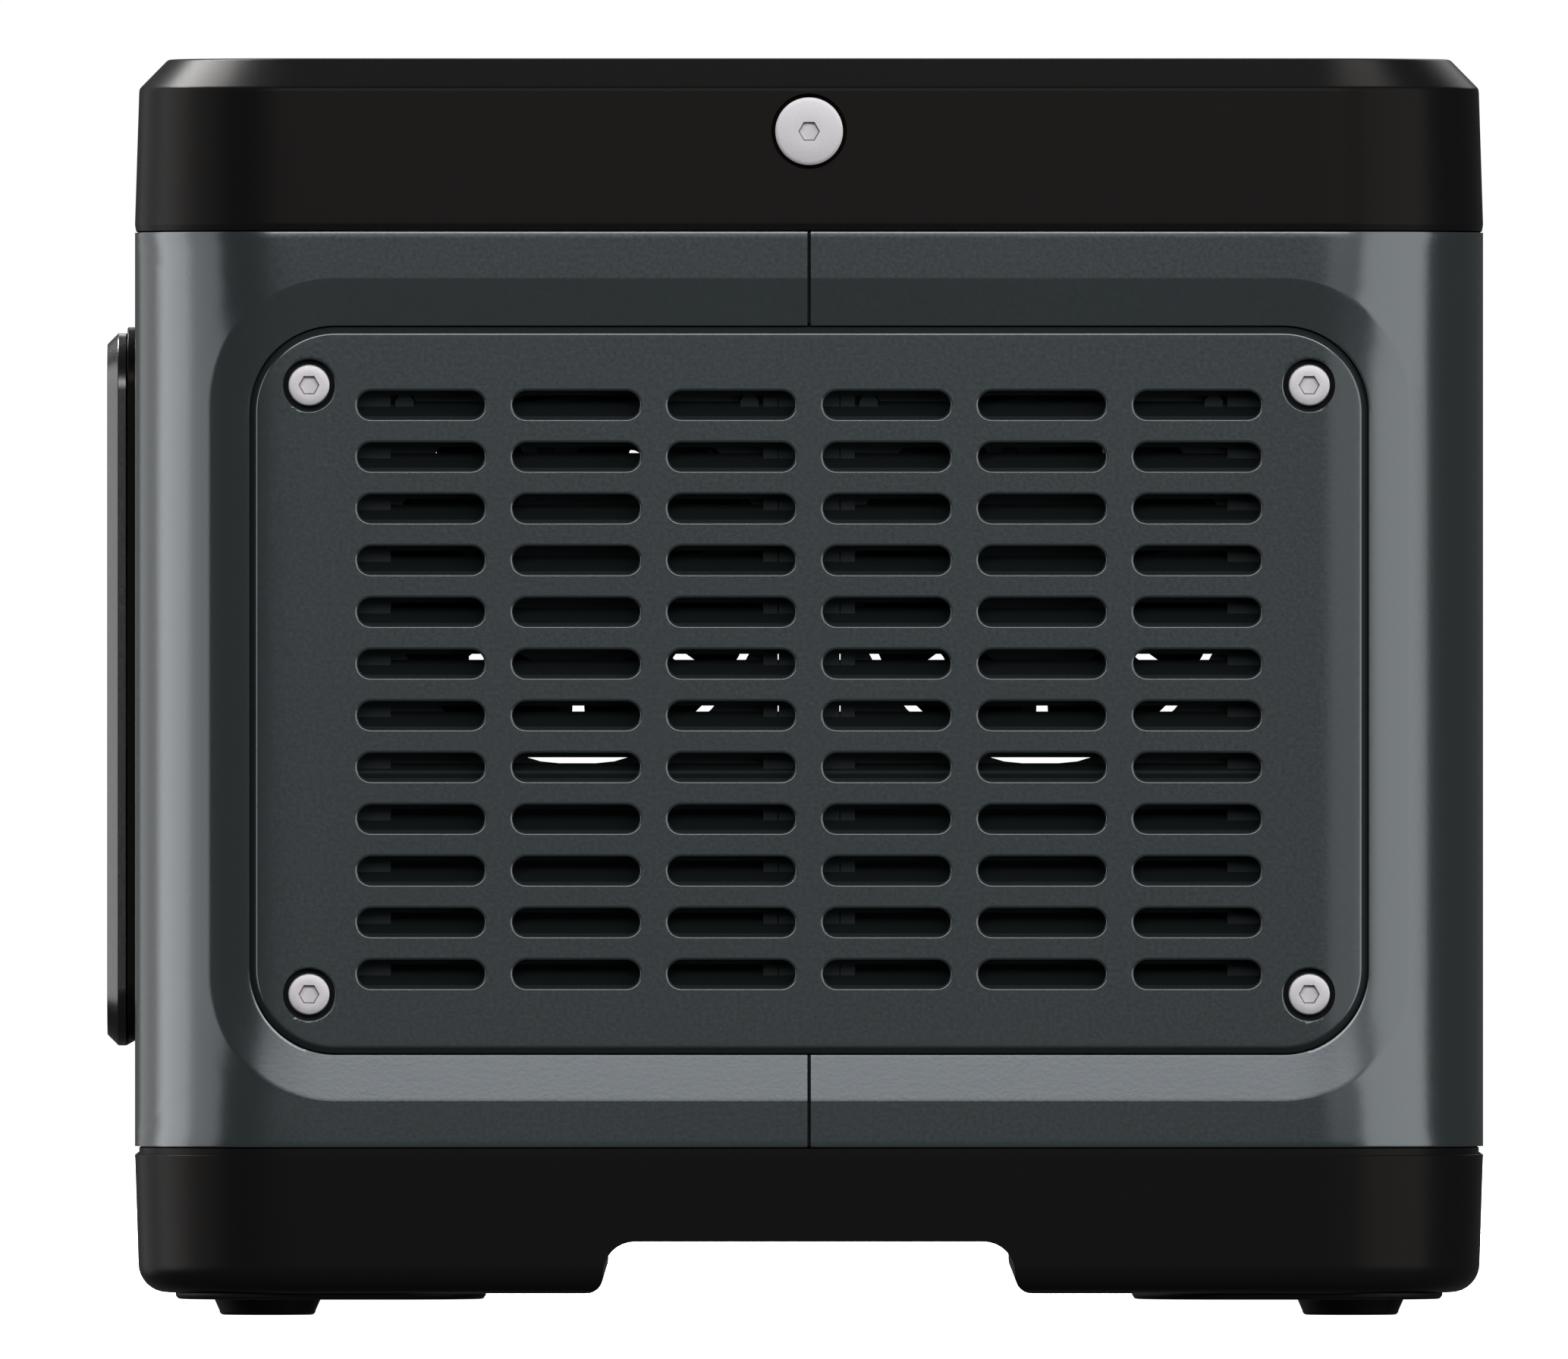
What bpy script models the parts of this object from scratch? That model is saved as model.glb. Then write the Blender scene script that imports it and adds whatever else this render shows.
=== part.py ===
"""Portable power station: case, vents, fans, handle, sockets and battery as separate pieces.

Metres, +Z up. The length lies along X and the front panel faces -Y. Sizes are written about the case's own
centre plane; the empty "station" carries every piece and puts the middle of the whole object on the origin.
"""
import bpy
import bmesh
from math import asin, cos, pi, radians, sin, sqrt, tau
from mathutils import Matrix, Vector

X, Y, Z = 0, 1, 2
ENDS = (-1, 1)

# Case
LENGTH = 0.400
DEPTH = 0.280
CORNER = 0.035
CORNER_STEPS = 8
WALL = 0.003
GAP = 0.0003
PAST = 0.002
SHELL_SPLIT = 0.0006
BASE_BOTTOM = 0.0047
BASE_SEAM = 0.0348
BASE_EDGE = 0.006
LID_SEAM = 0.2251
LID_TOP = 0.2608
LID_CHAMFER = 0.0061
CHANNEL_HALF = 0.0427
CHANNEL_TOP = 0.0155
CHANNEL_ROUND = 0.0066

# End vents
RECESS = 0.0008
RECESS_HALF, RECESS_LOW, RECESS_HIGH, RECESS_ROUND = 0.1244, 0.0447, 0.2151, 0.0264
VENT_HALF, VENT_LOW, VENT_HIGH, VENT_ROUND = 0.1160, 0.0542, 0.20535, 0.0179
PANEL_THICK = 0.0022
SLOT_COLUMNS, SLOT_ROWS = 6, 12
SLOT_COLUMN_PITCH, SLOT_ROW_PITCH = 0.03216, 0.01072
SLOT_TOP_ROW = 0.18896
SLOT_LENGTH, SLOT_HEIGHT = 0.0261, 0.0058
SCREW_Y, SCREW_LOW, SCREW_HIGH = 0.1036, 0.0668, 0.1930
SCREW_HEAD, SCREW_SHANK, SCREW_HEX = 0.0043, 0.0025, 0.00195
SCREW_BORE = 0.00535
FRAME_OUT, FRAME_THICK = 0.1959, 0.003
FRAME_HALF, FRAME_LOW, FRAME_HIGH = 0.112, 0.048, 0.211
FRAME_OPEN_HALF, FRAME_OPEN_LOW, FRAME_OPEN_HIGH = 0.096, 0.062, 0.198
FRAME_ROUND, FRAME_OPEN_ROUND, INTAKE_OPEN_HIGH = 0.012, 0.005, 0.186
SLAT_OUT, SLAT_DEPTH, SLAT_THICK = 0.1966, 0.0072, 0.001
SLAT_DROP, SLAT_RISE = 0.0034, 0.00074
RAIL_LOW, RAIL_HIGH, RAIL_THICK = 0.00194, 0.0036, 0.002

# Fans
FAN_SIZE, FAN_DEPTH, FAN_BORE = 0.080, 0.025, 0.0392
FAN_Y, FAN_Z, FAN_FACE = 0.0481, 0.15345, 0.189
FAN_HUB, FAN_BLADES, FAN_TIP = 0.0200, 7, 0.0374
FAN_HOLE, FAN_ROUND, FAN_CUP = 0.03575, 0.004, 0.0215

# Carry handle
PIVOT_Z = 0.2456
ARM_IN, ARM_OUT, ARM_HALF, ARM_ROUND, ARM_ROOM = 0.169, 0.183, 0.010, 0.0095, 0.001
GRIP_MIDDLE, GRIP_END = 0.088, 0.0977
WELL_FLOOR, WELL_FRONT, WELL_BACK = 0.235, -0.012, 0.098
WELL_RIM, WELL_RIM_DEEP = 0.004, 0.0025
BOLT_HEAD, BOLT_SHANK, BOLT_BORE, BUSH = 0.007, 0.004, 0.00785, 0.006

# Feet
PLATE_IN, PLATE_OUT, PLATE_ROUND = 0.0671, 0.1315, 0.020
PLATE_LOW, PLATE_HIGH = 0.0034, 0.0044
FOOT_X, FOOT_Y, FOOT_TOP, FOOT_END = 0.160, 0.1125, 0.0111, 0.0100

FINISHES = {
    "black plastic": ((0.008, 0.008, 0.008), 0.45, 0.0),
    "grey plastic": ((0.041, 0.047, 0.048), 0.45, 0.0),
    "gloss black": ((0.005, 0.005, 0.006), 0.15, 0.0),
    "rubber": ((0.012, 0.012, 0.012), 0.80, 0.0),
    "zinc steel": ((0.50, 0.50, 0.50), 0.35, 1.0),
    "aluminium": ((0.62, 0.63, 0.64), 0.40, 1.0),
    "blue film": ((0.03, 0.10, 0.35), 0.40, 0.0),
    "green board": ((0.02, 0.14, 0.06), 0.45, 0.0),
    "white nylon": ((0.70, 0.70, 0.68), 0.50, 0.0),
    "tinted glass": ((0.01, 0.012, 0.015), 0.05, 0.0),
}

for old in list(bpy.data.objects):
    bpy.data.objects.remove(old, do_unlink=True)

parts = bpy.data.collections.new("power_station")
tools = bpy.data.collections.new("cutters")
for group in (parts, tools):
    bpy.context.scene.collection.children.link(group)

# The front panel stands proud on one side only, so the case sits half of that behind the origin.
FRONT_PROUD = 0.006
station = bpy.data.objects.new("station", None)
station.location = (0, FRONT_PROUD / 2, 0)
parts.objects.link(station)


# Shapes
def block(low, high):
    """A box between two corners, given in any order."""
    low, high = Vector(low), Vector(high)
    size = Vector(abs(span) for span in high - low)
    shape = bmesh.new()
    place = Matrix.Translation((low + high) / 2) @ Matrix.Diagonal((*size, 1))
    bmesh.ops.create_cube(shape, size=1, matrix=place)
    return shape


def rod(start, end, radius, steps=16, end_radius=None):
    """A round bar between two points, or a cone where the far end has its own radius."""
    start, end = Vector(start), Vector(end)
    turn = (end - start).to_track_quat("Z", "Y").to_matrix().to_4x4()
    far = radius if end_radius is None else end_radius
    shape = bmesh.new()
    bmesh.ops.create_cone(shape, cap_ends=True, segments=steps, radius1=radius, radius2=far,
                          depth=(end - start).length, matrix=Matrix.Translation((start + end) / 2) @ turn)
    return shape


def round_edges(shape, radius, steps, pick):
    """Round, or with one step chamfer, the edges that pick names."""
    edges = [edge for edge in shape.edges if pick(edge)]
    bmesh.ops.bevel(shape, geom=edges, offset=radius, segments=steps, profile=0.5, affect="EDGES")
    return shape


def parallel_to(axis):
    """Names the edges that run along an axis."""
    def pick(edge):
        run = edge.verts[1].co - edge.verts[0].co
        return abs(run[axis]) > 0.999 * run.length
    return pick


def lies_at(axis, value):
    """Names the edges of the flat face at one height along an axis."""
    return lambda edge: all(abs(vert.co[axis] - value) < 1e-6 for vert in edge.verts)


def slab(low, high, axis, radius, steps=4):
    """A box whose four edges along one axis are rounded."""
    return round_edges(block(low, high), radius, steps, parallel_to(axis))


def together(*shapes):
    """Several shapes as one set of separate bodies."""
    whole = shapes[0]
    for shape in shapes[1:]:
        spare = bpy.data.meshes.new("spare")
        shape.to_mesh(spare)
        shape.free()
        whole.from_mesh(spare)
        bpy.data.meshes.remove(spare)
    return whole


def moved(shape, matrix):
    """The same shape, carried by a matrix."""
    bmesh.ops.transform(shape, matrix=matrix, verts=shape.verts)
    return shape


def loft(rings):
    """A closed skin through rings of equally many points, capped at both ends."""
    shape = bmesh.new()
    rows = [[shape.verts.new(point) for point in ring] for ring in rings]
    count = len(rings[0])
    for row, following in zip(rows, rows[1:]):
        for near in range(count):
            far = (near + 1) % count
            shape.faces.new((row[near], row[far], following[far], following[near]))
    shape.faces.new(rows[0])
    shape.faces.new(rows[-1])
    return shape


# Pieces
def hold(name, shape, collection):
    """Put a shape into the file as a named object carried by the station."""
    mesh = bpy.data.meshes.new(name)
    bmesh.ops.recalc_face_normals(shape, faces=shape.faces)
    shape.to_mesh(mesh)
    shape.free()
    thing = bpy.data.objects.new(name, mesh)
    thing.parent = station
    collection.objects.link(thing)
    return thing


def part(name, shape, finish, pivot=(0, 0, 0)):
    """One piece with its own material and its origin at its pivot."""
    piece = hold(name, moved(shape, Matrix.Translation(-Vector(pivot))), parts)
    piece.location = pivot
    colour, roughness, metallic = FINISHES[finish]
    skin = bpy.data.materials.new(name + " " + finish)
    skin.use_nodes = True
    shader = skin.node_tree.nodes["Principled BSDF"]
    shader.inputs["Base Color"].default_value = (*colour, 1)
    shader.inputs["Roughness"].default_value = roughness
    shader.inputs["Metallic"].default_value = metallic
    piece.data.materials.append(skin)
    piece.data.shade_smooth()
    piece.data.set_sharp_from_angle(angle=radians(30))
    return piece


def shape_by(piece, operation, shape):
    """Cut a piece by a shape, join the shape to it, or keep only what lies in the shape."""
    tool = hold(piece.name + "_tool", shape, tools)
    tool.hide_render = True
    tool.display_type = "WIRE"
    step = piece.modifiers.new(operation.title(), "BOOLEAN")
    step.operation = operation
    step.solver = "EXACT"
    step.object = tool


def cut(piece, shape):
    shape_by(piece, "DIFFERENCE", shape)


def join(piece, shape):
    shape_by(piece, "UNION", shape)


def keep(piece, shape):
    shape_by(piece, "INTERSECT", shape)


def case_block(inset, low, high):
    """The case's rounded plan, drawn in by inset, between two heights."""
    x, y = LENGTH / 2 - inset, DEPTH / 2 - inset
    return slab((-x, -y, low), (x, y, high), Z, CORNER - inset, CORNER_STEPS)


# Case shells
OVERRUN = 1.4


def rounded_outline(half, low, high, radius, steps=4):
    """Points round an upright rounded rectangle, as (y, z)."""
    points = []
    for quarter, (side, level) in enumerate(((1, 1), (-1, 1), (-1, -1), (1, -1))):
        middle_z = high - radius if level > 0 else low + radius
        for step in range(steps + 1):
            angle = (quarter + step / steps) * pi / 2
            points.append((side * (half - radius) + radius * cos(angle), middle_z + radius * sin(angle)))
    return points


def end_face(y, sink):
    """How far from the middle the case's end lies at a given depth, sunk below its surface."""
    round_part = max(0, abs(y) - (DEPTH / 2 - CORNER))
    return LENGTH / 2 - CORNER + sqrt((CORNER - sink) ** 2 - round_part ** 2)


def vent_recess(end):
    """The shallow dished border round a vent and the opening inside it."""
    rim = rounded_outline(RECESS_HALF, RECESS_LOW, RECESS_HIGH, RECESS_ROUND)
    opening = rounded_outline(VENT_HALF, VENT_LOW, VENT_HIGH, VENT_ROUND)
    inner = [Vector((end * end_face(y, RECESS), y, z)) for y, z in opening]
    outer = [Vector((end * end_face(y, 0), y, z)) for y, z in rim]
    beyond = [low + (high - low) * OVERRUN for low, high in zip(inner, outer)]
    far = [Vector((end * (LENGTH / 2 + PAST), point.y, point.z)) for point in beyond]
    deep = [Vector((end * (LENGTH / 2 - CORNER), point.y, point.z)) for point in inner]
    return loft((far, beyond, inner, deep))


def half_shell(name, side):
    """Half of the upright wall; the two halves meet along the middle of each end."""
    shell = part(name, case_block(0, BASE_SEAM + GAP, LID_SEAM - GAP), "grey plastic")
    cut(shell, case_block(WALL, BASE_SEAM - PAST, LID_SEAM + PAST))
    cut(shell, block((-LENGTH, side * SHELL_SPLIT / 2, 0), (LENGTH, -side * DEPTH, LID_TOP)))
    for end in ENDS:
        cut(shell, vent_recess(end))
    return shell


front_shell = half_shell("front_shell", -1)
rear_shell = half_shell("rear_shell", 1)


# Top lid with the opening that the handle well hangs in, and a boss for each handle bolt
def lid_block(inset, low):
    """The lid's plan with its chamfered top edge, drawn in by inset."""
    top = LID_TOP - inset
    return round_edges(case_block(inset, low, top), LID_CHAMFER - inset / 3, 1, lies_at(Z, top))


WELL_HALF = ARM_OUT + ARM_ROOM
BOLT_SEAT, BOLT_FACE, BOLT_TIP = 0.1952, 0.1995, ARM_IN - ARM_ROOM / 2


def well_block(grown, low, high):
    """The handle well's plan, grown all round, between two heights."""
    return block((-WELL_HALF - grown, WELL_FRONT - grown, low), (WELL_HALF + grown, WELL_BACK + grown, high))


def bolt_hole(end, depth, radius, sides):
    """A rod along a handle bolt, from a depth in the lid out past its end."""
    return rod((end * depth, 0, PIVOT_Z), (end * LENGTH, 0, PIVOT_Z), radius, sides)


well_low, boss_high = WELL_FLOOR - WALL, LID_TOP - LID_CHAMFER - GAP
top_lid = part("top_lid", lid_block(0, LID_SEAM), "black plastic")
cut(top_lid, lid_block(WALL, LID_SEAM - PAST))
cut(top_lid, well_block(WALL + GAP, LID_SEAM, LID_TOP + PAST))
for end in ENDS:
    join(top_lid, block((end * (WELL_HALF + WALL + GAP), WELL_FRONT - WALL, well_low),
                        (end * (LENGTH / 2 - WALL / 2), WALL - WELL_FRONT, boss_high)))
    cut(top_lid, bolt_hole(end, BOLT_SEAT, BOLT_BORE, 24))
    cut(top_lid, bolt_hole(end, WELL_HALF, BOLT_SHANK + GAP, 12))

# Handle well, a tray held by the rim that lies under the lid's top
rim_high = LID_TOP - WALL - GAP
handle_well = part("handle_well", well_block(WALL, well_low, LID_TOP), "black plastic")
join(handle_well, well_block(WALL + WELL_RIM, rim_high - WELL_RIM_DEEP, rim_high))
cut(handle_well, well_block(0, WELL_FLOOR, LID_TOP + PAST))
for end in ENDS:
    cut(handle_well, bolt_hole(end, WELL_HALF - PAST, BOLT_SHANK + GAP, 12))

# Base tray with the channel that runs through under it
base_tray = part("base_tray", round_edges(case_block(0, BASE_BOTTOM, BASE_SEAM), BASE_EDGE, 3,
                                          lies_at(Z, BASE_BOTTOM)), "black plastic")
cut(base_tray, case_block(WALL + PAST, BASE_BOTTOM + WALL, BASE_SEAM + PAST))
rib = CHANNEL_HALF + WALL
join(base_tray, block((-LENGTH / 2 + WALL, -rib, BASE_BOTTOM + WALL / 2),
                      (LENGTH / 2 - WALL, rib, CHANNEL_TOP + WALL)))
channel = block((-LENGTH, -CHANNEL_HALF, -PAST), (LENGTH, CHANNEL_HALF, CHANNEL_TOP))
cut(base_tray, round_edges(channel, CHANNEL_ROUND, 3,
                           lambda edge: parallel_to(X)(edge) and lies_at(Z, CHANNEL_TOP)(edge)))

# End vents: slotted panels, the frames behind them and their screws
def prism(outline, start, end):
    """An outline in Y and Z carried straight along X."""
    return loft([[(x, y, z) for y, z in outline] for x in (start, end)])


def bolt(seat, axis, head, shank, tall, long, hexagon, sink, steps=12):
    """A socket-head screw: its head stands on seat along axis, and its rings also draw the hexagon socket."""
    turn = Vector(axis).to_track_quat("Z", "Y")

    def ring(height, radius, six_sided=False):
        points = []
        for step in range(steps):
            angle = tau * step / steps
            reach = radius * cos(pi / 6) / cos(angle % (pi / 3) - pi / 6) if six_sided else radius
            points.append(Vector(seat) + turn @ Vector((reach * cos(angle), reach * sin(angle), height)))
        return points

    return loft((ring(tall - sink, hexagon, True), ring(tall, hexagon, True), ring(tall, head), ring(0, head),
                 ring(0, shank), ring(-long, shank)))


screw_places = [(y, z) for y in (-SCREW_Y, SCREW_Y) for z in (SCREW_LOW, SCREW_HIGH)]
slot_levels = [SLOT_TOP_ROW - row * SLOT_ROW_PITCH for row in range(SLOT_ROWS)]
slot_middles = [(column - (SLOT_COLUMNS - 1) / 2) * SLOT_COLUMN_PITCH for column in range(SLOT_COLUMNS)]


def slot_outline(y, z, steps=3):
    """Points round a level slot with half-round ends, as (y, z)."""
    radius = SLOT_HEIGHT / 2
    points = []
    for side in (1, -1):
        for step in range(steps + 1):
            angle = side * (step / steps - 0.5) * pi
            across = SLOT_LENGTH / 2 - radius + radius * cos(angle)
            points.append((y + side * across, z + radius * sin(angle)))
    return points


def vent_panel(name, end):
    """The slotted end panel, which follows the case's round corners at both sides."""
    panel = part(name, case_block(RECESS, VENT_LOW - PAST, VENT_HIGH + PAST), "grey plastic")
    cut(panel, case_block(RECESS + PANEL_THICK, VENT_LOW - CORNER, VENT_HIGH + CORNER))
    outline = rounded_outline(VENT_HALF - GAP, VENT_LOW + GAP, VENT_HIGH - GAP, VENT_ROUND - GAP)
    inside, outside = end * (LENGTH / 2 - CORNER), end * (LENGTH / 2 + PAST)
    keep(panel, prism(outline, inside, outside))
    slots = [prism(slot_outline(y, z), inside, outside) for y in slot_middles for z in slot_levels]
    holes = [rod((inside, y, z), (outside, y, z), SCREW_BORE, 12) for y, z in screw_places]
    cut(panel, together(*slots, *holes))


def vent_frame(name, end, open_high):
    """The ring inside the wall that the panel is screwed to."""
    face, back = end * FRAME_OUT, end * (FRAME_OUT - FRAME_THICK)
    ring = slab((face, -FRAME_HALF, FRAME_LOW), (back, FRAME_HALF, FRAME_HIGH), X, FRAME_ROUND, 3)
    frame = part(name, ring, "black plastic")
    cut(frame, slab((face + end * PAST, -FRAME_OPEN_HALF, FRAME_OPEN_LOW),
                    (back - end * PAST, FRAME_OPEN_HALF, open_high), X, FRAME_OPEN_ROUND, 2))
    cut(frame, together(*[rod((face + end * PAST, y, z), (back - end * PAST, y, z), SCREW_SHANK + GAP, 12)
                          for y, z in screw_places]))
    return frame


vent_panel("vent_panel_right", 1)
vent_panel("vent_panel_left", -1)
louvre_frame = vent_frame("louvre_frame", 1, FRAME_OPEN_HIGH)
vent_frame("intake_frame", -1, INTAKE_OPEN_HIGH)
SHELF_THICK, POST_CLEAR, POST_LAP, POST_HALF, POST_SLIT = 0.0026, 0.001, 0.0014, 0.0063, 0.0002
slat_slope = (SLAT_DROP + SLAT_RISE - SLAT_THICK) / SLAT_DEPTH
slat_lean = Matrix(((1, 0, 0, 0), (0, 1, 0, 0), (-slat_slope, 0, 1, slat_slope * SLAT_OUT), (0, 0, 0, 1)))
slat_half = FRAME_OPEN_HALF + PAST / 2
join(louvre_frame, together(*[moved(block((SLAT_OUT - SLAT_DEPTH, -slat_half, z - SLAT_DROP),
                                          (SLAT_OUT, slat_half, z - SLAT_DROP + SLAT_THICK)), slat_lean)
                              for z in slot_levels]))
post_back = FAN_FACE + POST_CLEAR
join(louvre_frame, together(*[block((post_back, -slat_half, z + RAIL_LOW),
                                    (post_back + RAIL_THICK, slat_half, z + RAIL_HIGH))
                              for z in slot_levels]))
fan_back, fan_low = FAN_FACE - FAN_DEPTH, FAN_Z - FAN_SIZE / 2
join(louvre_frame, block((fan_back, -slat_half, fan_low - GAP - SHELF_THICK),
                         (FRAME_OUT - FRAME_THICK / 2, slat_half, fan_low - GAP)))
# Posts in front of the fans close the strips between and beside them; a fine slit is left at each side of the
# middle post down to a foot that covers the fans' round corners
post_face, cover_inner = post_back + RAIL_THICK, FAN_Y - FAN_SIZE / 2 + POST_LAP
cover_outer = FAN_Y + FAN_SIZE / 2 - POST_LAP
for low_y, high_y in ((-slat_half, -cover_outer), (-cover_inner, -POST_HALF - POST_SLIT),
                      (-POST_HALF, POST_HALF), (POST_HALF + POST_SLIT, cover_inner), (cover_outer, slat_half)):
    join(louvre_frame, block((post_back, low_y, FRAME_OPEN_LOW), (post_face, high_y, FRAME_OPEN_HIGH)))
join(louvre_frame, block((post_back, -cover_inner, fan_low - SHELF_THICK),
                         (post_face, cover_inner, fan_low + FAN_ROUND)))
HEAD_TALL, HEX_DEEP = 0.0028, 0.0018
for end, end_name in ((-1, "left"), (1, "right")):
    for number, (y, z) in enumerate(screw_places, 1):
        screw = bolt((end * (FRAME_OUT + GAP), y, z), (end, 0, 0), SCREW_HEAD, SCREW_SHANK, HEAD_TALL,
                     FRAME_THICK + PAST, SCREW_HEX, HEX_DEEP)
        part(f"vent_screw_{end_name}_{number}", screw, "zinc steel")

# Two 80 mm fans that stand on the louvre frame's shelf and hang on pegs from its top rail
FAN_PEG, STRUT, FAN_WEB, STRUT_TURN = 0.002, 0.004, 0.0026, radians(20)
ROTOR_BACK, ROTOR_FACE, BLADE_BACK, BLADE_FACE = 0.1672, 0.1876, 0.1690, 0.1860
BLADE_THICK, BLADE_ROOT, BLADE_STEPS = 0.0014, 0.018, 5
BLADE_START, BLADE_SPAN = radians(-87), radians(46.4)


def motor_seat(fan_y):
    """The round seat for a fan's motor, on four struts that run into the frame."""
    tip, turn = FAN_BORE + PAST / 2, pi / 2
    tip_angle, seat_angle = asin(STRUT / 2 / tip), asin(STRUT / 2 / FAN_CUP)
    outline = []
    for quarter in range(4):
        toward = STRUT_TURN + quarter * turn
        corners = [(tip, toward - tip_angle), (tip, toward + tip_angle)]
        corners += [(FAN_CUP, toward + seat_angle + step / 4 * (turn - 2 * seat_angle)) for step in range(5)]
        outline += [(fan_y + radius * cos(angle), FAN_Z + radius * sin(angle)) for radius, angle in corners]
    return prism(outline, fan_back + GAP, fan_back + FAN_WEB)


def fan_blade():
    """A helical blade about the X axis: it climbs evenly from back to face as it turns through its span."""
    climb, turn = (BLADE_FACE - BLADE_BACK) / BLADE_STEPS, BLADE_SPAN / BLADE_STEPS
    rings = []
    for radius in (BLADE_ROOT, FAN_TIP):
        line = [(BLADE_BACK + step * climb, radius * cos(BLADE_START + step * turn),
                 radius * sin(BLADE_START + step * turn)) for step in range(BLADE_STEPS + 1)]
        rings.append([(x - BLADE_THICK / 2, y, z) for x, y, z in line]
                     + [(x + BLADE_THICK / 2, y, z) for x, y, z in reversed(line)])
    return loft(rings)


for fan_side, fan_y in (("front", -FAN_Y), ("rear", FAN_Y)):
    half = FAN_SIZE / 2
    square = slab((fan_back, fan_y - half, FAN_Z - half), (FAN_FACE, fan_y + half, FAN_Z + half), X,
                  FAN_ROUND, 2)
    fan_frame = part("fan_frame_" + fan_side, square, "black plastic")
    cut(fan_frame, rod((fan_back - PAST, fan_y, FAN_Z), (FAN_FACE + PAST, fan_y, FAN_Z), FAN_BORE, 32))
    join(fan_frame, motor_seat(fan_y))
    places = [(fan_y + side * FAN_HOLE, FAN_Z + FAN_HOLE) for side in ENDS]
    cut(fan_frame, together(*[rod((fan_back - PAST, y, z), (FAN_FACE + PAST, y, z), FAN_PEG + GAP, 12)
                              for y, z in places]))
    pegs = [rod((post_face, y, z), (fan_back + FAN_WEB, y, z), FAN_PEG, 10) for y, z in places]
    join(louvre_frame, together(*pegs))
    rotor_x = (ROTOR_BACK + ROTOR_FACE) / 2
    middle = (rotor_x, fan_y, FAN_Z)
    hub = rod((ROTOR_BACK, fan_y, FAN_Z), (ROTOR_FACE, fan_y, FAN_Z), FAN_HUB, 20)
    rotor = part("fan_rotor_" + fan_side, hub, "black plastic", middle)
    for blade in range(FAN_BLADES):
        round_hub = Matrix.Rotation(blade * tau / FAN_BLADES, 4, "X")
        join(rotor, moved(fan_blade(), Matrix.Translation((0, fan_y, FAN_Z)) @ round_hub))

# Carry handle that folds flat into the lid, on two bushes and two shoulder bolts
BAR_HALF_DEEP, BAR_HALF_TALL, BAR_ROUND, SLEEVE, SLEEVE_HALF = 0.0080, 0.0078, 0.005, 0.0016, 0.060


def grip_bar(reach, grow):
    """The bar across the handle, or the sleeve round it where it grows."""
    deep, tall = BAR_HALF_DEEP + grow, BAR_HALF_TALL + grow
    return slab((-reach, GRIP_MIDDLE - deep, PIVOT_Z - tall), (reach, GRIP_MIDDLE + deep, PIVOT_Z + tall), X,
                BAR_ROUND + grow, 3)


def pivot_rod(end, radius, inner, outer, steps):
    """A rod along the handle's pivot at one end of the lid."""
    return rod((end * inner, 0, PIVOT_Z), (end * outer, 0, PIVOT_Z), radius, steps)


pivot = (0, 0, PIVOT_Z)
arms = [slab((end * ARM_IN, -ARM_HALF, PIVOT_Z - ARM_HALF), (end * ARM_OUT, GRIP_END, PIVOT_Z + ARM_HALF), X,
             ARM_ROUND, 5) for end in ENDS]
carry_handle = part("carry_handle", together(*arms), "black plastic", pivot)
join(carry_handle, grip_bar(ARM_IN + PAST, 0))
handle_grip = part("handle_grip", grip_bar(SLEEVE_HALF, SLEEVE), "rubber", pivot)
cut(handle_grip, grip_bar(SLEEVE_HALF + PAST, GAP))
for end, end_name in ((-1, "left"), (1, "right")):
    cut(carry_handle, pivot_rod(end, BUSH + GAP, ARM_IN - PAST, ARM_OUT + PAST, 16))
    bush = part("handle_bush_" + end_name, pivot_rod(end, BUSH, ARM_IN, ARM_OUT, 16), "white nylon", pivot)
    cut(bush, pivot_rod(end, BOLT_SHANK + GAP, ARM_IN - PAST, ARM_OUT + PAST, 16))
    shoulder_bolt = bolt((end * (BOLT_SEAT + GAP), 0, PIVOT_Z), (end, 0, 0), BOLT_HEAD, BOLT_SHANK,
                         BOLT_FACE - BOLT_SEAT - GAP, BOLT_SEAT + GAP - BOLT_TIP, SCREW_HEX, HEX_DEEP, 24)
    part("handle_bolt_" + end_name, shoulder_bolt, "zinc steel")

# Feet: a thin skid plate with a round foot, pressed into the base by a spigot
PLATE_X_IN, PLATE_X_OUT, SPIGOT, SPIGOT_TOP = 0.128, 0.192, 0.004, 0.0074
corners = [(along, side) for along in ENDS for side in ENDS]
for number, (along, side) in enumerate(corners, 1):
    x, y = along * FOOT_X, side * FOOT_Y
    plate = slab((along * PLATE_X_IN, side * PLATE_IN, PLATE_LOW),
                 (along * PLATE_X_OUT, side * PLATE_OUT, PLATE_HIGH), Z, PLATE_ROUND, 4)
    foot = part(f"foot_{number}", plate, "rubber")
    join(foot, rod((x, y, PLATE_LOW + GAP), (x, y, 0), FOOT_TOP, 20, FOOT_END))
    join(foot, rod((x, y, PLATE_LOW + GAP), (x, y, SPIGOT_TOP), SPIGOT, 12))
    cut(base_tray, rod((x, y, 0), (x, y, BASE_SEAM), SPIGOT + GAP, 12))

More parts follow.
